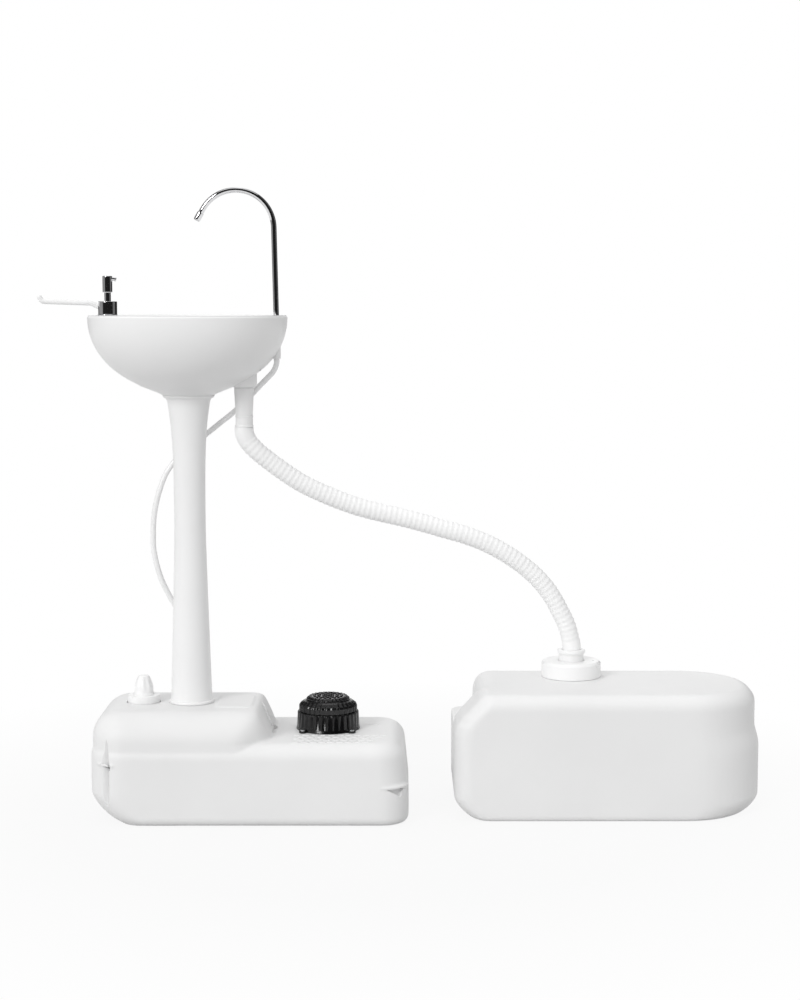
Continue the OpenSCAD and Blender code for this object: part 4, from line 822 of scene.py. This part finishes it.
def pump_boot():
    """Rubber boot under the tread."""
    low = BOOT_Z
    boot = rounded([(37, low), (48, low, 0.8), (48, low + 8.5, 1.5), (46.5, low + 11.8, 1),
                    (40.5, low + 16.3, 1), (37, low + 17.7, 0.8), (35.5, low + 19, 0.6),
                    (27.5, low + 19), (27.5, low + 16), (38, low + 13.4, 1), (45, low + 5.7, 1),
                    (37, low + 2.8)])
    boot_shell = lathe("pump_boot_skin", boot, PUMP, 384, knurl(32, 1.6, low - 3, low + 17),
                       closed=True, slot="black_rubber", nodes=["pump_boot"])
    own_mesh(boot_shell)


def pump_nubs():
    """Rings of nubs on the tread: distance from the middle, number, radius and height."""
    vertices, faces = [], []
    for ring, count, r, top in ((0, 1, 2.4, 7.1), (8, 6, 2.4, 7.1), (16, 12, 2.4, 7),
                                (23, 18, 2.4, 6.7), (29.6, 24, 2.7, 5.4)):
        nub = rounded([(0, TREAD_Z + 3), (r, TREAD_Z + 3), (r - 0.6, TREAD_Z + top, 0.8),
                       (0, TREAD_Z + top)])
        for k in range(count):
            a = 2 * math.pi * k / count
            v, f = revolved(nub, (PUMP[0] + ring * math.cos(a), PUMP[1] + ring * math.sin(a)), 16)
            faces += [[i + len(vertices) for i in face] for face in f]
            vertices += v
    piece("pump_tread_nubs", vertices, faces, "pump_tread", "black_rubber")


def pump_tread():
    """Domed tread with its nubs, and the guide pin under it."""
    low = TREAD_Z
    tread = rounded([(0, low), (26.5, low), (26.5, low + 0.3), (35.5, low + 0.3, 0.5),
                     (35.5, low + 2, 1.2), (31.5, low + 4.6, 1.5), (24, low + 5, 1), (0, low + 5)])
    lathe("pump_tread_pad", tread, PUMP, 384, knurl(32, 1.0, low, low + 7), body="pump_tread",
          slot="black_rubber", nodes=["pump_tread"])
    pump_nubs()
    rod("pump_guide_pin", [(*PUMP, low - 60), (*PUMP, low - 30), (*PUMP, low + 1)], 6,
        body="pump_tread", slot="black_rubber")


def drain():
    """Tail pipe under the basin, and the cuff that holds the hose."""
    at = (DRAIN_X, 0)
    tail = rounded([(11, 652), (14, 652, 0.6), (16, 697, 0.6), (11, 697)])
    lathe("drain_tail_pipe", tail, at, 96, closed=True, slot="white_fitting", nodes=["drain_tail"])
    cuff = rounded([(11, 633), (14.6, 633, 0.6), (15.2, 635, 1), (14, 637.5, 1), (14, 648.5, 1),
                    (14.6, 650, 0.6), (14.4, 652, 0.6), (11, 652)])
    lathe("hose_cuff_sleeve", cuff, at, 96, closed=True, slot="white_fitting", nodes=["hose_cuff"])


def drain_hose():
    """Corrugated hose, plain at both ends."""
    pitch, depth, radius = 8.8, 0.75, 15.4
    plain_start, plain_end, fade = 20, 18, 6
    points, run = smooth_route(DRAIN_ROUTE, pitch * MM / 8)
    run = run / MM
    inside = np.minimum(run - plain_start, run[-1] - run - plain_end)
    ribs = np.clip(inside / fade, 0, 1)
    radii = radius - depth * ribs * (0.5 - 0.5 * np.cos(2 * math.pi * run / pitch)) ** 0.8
    vertices, faces = swept(points / MM, radii, 48)
    hose = piece("drain_hose_tube", vertices, faces, slot="hose_plastic", nodes=["drain_hose"])


def supply_tube():
    """Thin milky tube, from the spout down to the hump."""
    points, _ = smooth_route(SUPPLY_ROUTE, 0.004)
    radius = 4.5
    vertices, faces = swept(points / MM, [radius] * len(points), 24)
    tube = piece("supply_tube_line", vertices, faces, slot="tube_plastic", nodes=["supply_tube"])


def spout():
    """Gooseneck, with a collar at its open end."""
    leg = 770
    lean = 1.2
    steps = [(RIM_H - leg, lean, 30), (SPOUT_RISE, SPOUT_TURN - lean, SPOUT_BEND)]
    line = bent(steps + [(11, 0, 0)], (SPOUT_X, 0, leg), 3)
    rod("gooseneck_tube", line, SPOUT_R, 48, body="spout", slot="chrome", nodes=["gooseneck"])
    end = bent(steps + [(7, 0, 0)], (SPOUT_X, 0, leg), 3)[-1]
    turn = Matrix.Rotation(-math.radians(SPOUT_TURN), 4, "Y")
    collar = rounded([(3, 0), (5.5, 0, 0.6), (5.5, 12, 0.6), (4.9, 13, 0.3), (4.9, 14, 0.6), (3, 14)])
    tip = lathe("spout_nozzle", collar, (0, 0), 64, closed=True, body="spout", slot="chrome",
                nodes=["spout_tip"])
    tip.data.transform(Matrix.Translation(Vector(end) * MM) @ turn)


def soap():
    """Collar and press head of the soap dispenser."""
    at = (SOAP_X, 0)
    z = SOAP_COLLAR_Z
    collar = rounded([(12.2, z), (16.2, z, 0.5), (16.2, z + 1.5, 0.5), (15.3, z + 2.4, 0.4),
                      (15.3, z + 23, 1.2), (5.7, z + 23, 0.5), (5.7, z + 20), (12.2, z + 20)])
    lathe("soap_collar_cup", collar, at, 128, closed=True, slot="chrome", nodes=["soap_collar"])
    z = SOAP_HEAD_Z
    head = rounded([(0, z), (7.5, z, 0.4), (7.9, z + 1, 0.4), (7.9, z + 26.8, 1.6), (0, z + 27)])
    lathe("soap_head_cap", head, at, 96, body="soap_press_head", slot="chrome", nodes=["soap_head"])
    spout = [(SOAP_X + 5 + 9.3 * k / 6, 0, z + 22.5 - 0.18 * k - 0.02 * k * k) for k in range(7)]
    rod("soap_nozzle", spout, 3.1, 32, body="soap_press_head", slot="chrome")


def towel_arm():
    """White bent rod, with the washer it turns on."""
    start = (TOWEL[0], TOWEL[1], DECK_Z - 22)
    line = bent([(27, 90, 9), (6, -25, 14), (12, 23, 14), (73, -62, 8), (5, 0, 0)], start, 5)
    rod("towel_arm_rod", line, 4.2, 32, tip=1.6, body="towel_arm", slot="white_fitting",
        nodes=["towel_arm"])
    z = DECK_Z + 0.3
    washer = rounded([(4.2, z), (6.8, z, 0.4), (6.8, z + 2, 0.8), (4.2, z + 2)])
    lathe("towel_arm_washer", washer, TOWEL, 64, closed=True, body="towel_arm", slot="white_fitting")


def recovery_fittings():
    """Knurled cap ring and the hose nipple inside it."""
    z = REC_CAP_Z
    ring = rounded([(44.4, z), (50, z, 1), (50, z + 23, 2.5), (46.5, z + 27, 2), (22.4, z + 27, 0.6),
                    (22.4, z + 23), (44.4, z + 23)])
    lathe("recovery_cap_knurled", ring, REC_CAP, 320, knurl(40, 1.1, z + 1, z + 22), closed=True,
          body="recovery_cap_ring", slot="white_fitting", nodes=["recovery_cap"])
    top = REC_CAP_TOP + 18.5
    nipple = rounded([(12, 227.8), (44, 227.8), (44, 229.6), (21.5, 229.6), (21, top - 15, 0.8),
                      (20.5, top - 9, 1), (23.4, top - 5, 1), (23.4, top - 1, 1), (21, top, 0.8),
                      (15.9, top, 0.6), (15.9, top - 8), (12, top - 8)])
    lathe("hose_nipple_body", nipple, REC_CAP, 128, closed=True, slot="white_fitting",
          nodes=["hose_nipple"])


# ---------------------------------------------------------------- scene

def add_camera():
    """Camera fitted to the photo."""
    data = bpy.data.cameras.new("camera")
    data.sensor_width = 36
    data.lens = CAMERA_LENS
    data.clip_end = 50
    camera = bpy.data.objects.new("camera", data)
    camera.location = CAMERA_AT
    camera.rotation_euler = (math.radians(90 - CAMERA_DOWN), 0, 0)
    bpy.context.scene.collection.objects.link(camera)
    bpy.context.scene.camera = camera


def larger(nodes, links, *values):
    """The largest of the values."""
    total = values[0]
    for value in values[1:]:
        largest = nodes.new("ShaderNodeMath")
        largest.operation = "MAXIMUM"
        links.new(total, largest.inputs[0])
        links.new(value, largest.inputs[1])
        total = largest.outputs[0]
    return total


# Strength of the light from all round
ALL_ROUND = 0.76

# Levels round the dim room that the chrome shows, from the camera's side round to it again: a soft
# strip at the left, the white backdrop straight behind, and a fainter strip at the right
ROOM = [(0, 0.015), (0.14, 0.015), (0.165, 0.34), (0.33, 0.34), (0.36, 0.02), (0.44, 0.02), (0.46, 1),
        (0.54, 1), (0.56, 0.02), (0.7, 0.02), (0.72, 0.19), (0.79, 0.19), (0.81, 0.015), (1, 0.015)]


def room_levels(nodes, links):
    """The room's level in each direction round the vertical."""
    place = nodes.new("ShaderNodeTexCoord")
    axes = nodes.new("ShaderNodeSeparateXYZ")
    links.new(place.outputs["Generated"], axes.inputs[0])
    angle = nodes.new("ShaderNodeMath")
    angle.operation = "ARCTAN2"
    links.new(axes.outputs["X"], angle.inputs[0])
    links.new(axes.outputs["Y"], angle.inputs[1])
    turn = nodes.new("ShaderNodeMapRange")
    node_input(turn, "From Min", -math.pi)
    node_input(turn, "From Max", math.pi)
    links.new(angle.outputs[0], turn.inputs["Value"])
    ramp = nodes.new("ShaderNodeValToRGB")
    stops = ramp.color_ramp.elements
    for place_at, _ in ROOM[1:-1]:
        stops.new(place_at)
    for stop, (place_at, level) in zip(stops, ROOM):
        stop.position = place_at
        stop.color = (level, level, level, 1)
    links.new(turn.outputs["Result"], ramp.inputs["Fac"])
    return ramp.outputs["Color"]


def add_world():
    """White behind the object, and a dim room on the camera's side for the chrome to show."""
    world = bpy.data.worlds.new("studio")
    bpy.context.scene.world = world
    world.use_nodes = True
    nodes, links = world.node_tree.nodes, world.node_tree.links
    light = nodes["Background"]
    node_input(light, "Color", (1, 1, 1, 1))
    node_input(light, "Strength", ALL_ROUND)
    backdrop = nodes.new("ShaderNodeBackground")
    node_input(backdrop, "Color", (1, 1, 1, 1))
    room = nodes.new("ShaderNodeBackground")
    links.new(room_levels(nodes, links), room.inputs["Color"])
    path = nodes.new("ShaderNodeLightPath")
    first = nodes.new("ShaderNodeMixShader")
    links.new(path.outputs["Is Glossy Ray"], first.inputs["Fac"])
    links.new(light.outputs[0], first.inputs[1])
    links.new(room.outputs[0], first.inputs[2])
    second = nodes.new("ShaderNodeMixShader")
    seen = larger(nodes, links, path.outputs["Is Camera Ray"], path.outputs["Is Transmission Ray"])
    links.new(seen, second.inputs["Fac"])
    links.new(first.outputs[0], second.inputs[1])
    links.new(backdrop.outputs[0], second.inputs[2])
    links.new(second.outputs[0], nodes["World Output"].inputs["Surface"])


def add_floor():
    """White floor that keeps a faint shadow, and fades to plain white away from the object."""
    size = 6
    fade_start, fade_end = 0.5, 1.1
    mesh = bpy.data.meshes.new("floor")
    mesh.from_pydata([(-size, -size, 0), (size, -size, 0), (size, size, 0), (-size, size, 0)], [],
                     [(0, 1, 2, 3)])
    floor = bpy.data.objects.new("floor", mesh)
    floor.location = (0.3, 0, -0.0005)
    bpy.context.scene.collection.objects.link(floor)
    material, nodes, links, shader = new_material("floor_white", (0.55, 0.55, 0.55), 0.8)
    glow = nodes.new("ShaderNodeEmission")
    place = nodes.new("ShaderNodeTexCoord")
    distance = nodes.new("ShaderNodeVectorMath")
    distance.operation = "LENGTH"
    links.new(place.outputs["Object"], distance.inputs[0])
    fade = nodes.new("ShaderNodeMapRange")
    node_input(fade, "From Min", fade_start)
    node_input(fade, "From Max", fade_end)
    node_input(fade, "To Min", 0.9)
    node_input(fade, "To Max", 1.0)
    links.new(distance.outputs["Value"], fade.inputs["Value"])
    path = nodes.new("ShaderNodeLightPath")
    seen = larger(nodes, links, path.outputs["Is Camera Ray"], path.outputs["Is Glossy Ray"],
                  path.outputs["Is Transmission Ray"])
    amount = nodes.new("ShaderNodeMath")
    amount.operation = "MULTIPLY"
    links.new(seen, amount.inputs[0])
    links.new(fade.outputs["Result"], amount.inputs[1])
    mix = nodes.new("ShaderNodeMixShader")
    links.new(amount.outputs[0], mix.inputs["Fac"])
    links.new(shader.outputs[0], mix.inputs[1])
    links.new(glow.outputs[0], mix.inputs[2])
    links.new(mix.outputs[0], nodes["Material Output"].inputs["Surface"])
    mesh.materials.append(material)


def add_sun(name, towards, strength, angle):
    """Soft light from one direction."""
    data = bpy.data.lights.new(name, "SUN")
    data.energy = strength
    data.angle = math.radians(angle)
    lamp = bpy.data.objects.new(name, data)
    lamp.rotation_euler = Vector(towards).to_track_quat("Z", "Y").to_euler()
    bpy.context.scene.collection.objects.link(lamp)


def add_light():
    add_sun("key_light", (-0.5, -0.75, 0.43), 1.22, 20)
    add_sun("top_light", (0, 0, 1), 0.50, 60)


def dress_nodes():
    """Gives each node that still shows its material."""
    slots = {row["node"]: row["material_slot"] for row in frame["record"]["subparts"]}
    for name, obj in frame["nodes"].items():
        if obj.hide_render:
            continue
        obj.data.materials.clear()
        obj.data.materials.append(materials[slots[name]])


def squash_springs():
    """Gives both springs their own copies of their meshes."""
    for name, joint, foot, length, travel in (("pump_spring", "pump_press", 84, 98.2, 16.2),
                                              ("soap_spring", "soap_press", 782.1, 18.3, 12.1)):
        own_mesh(frame["nodes"][name])


bpy.context.scene.view_settings.view_transform = "Standard"
materials = make_materials()
add_camera()
drain_hose()
supply_tube()
base_tank()
deck_ribs()
recovery_tank()
column()
basin()
fill_cap()
pump_collar()
pump_boot()
pump_tread()
drain()
spout()
soap()
towel_arm()
recovery_fittings()
dress_nodes()
squash_springs()
add_world()
add_floor()
add_light()
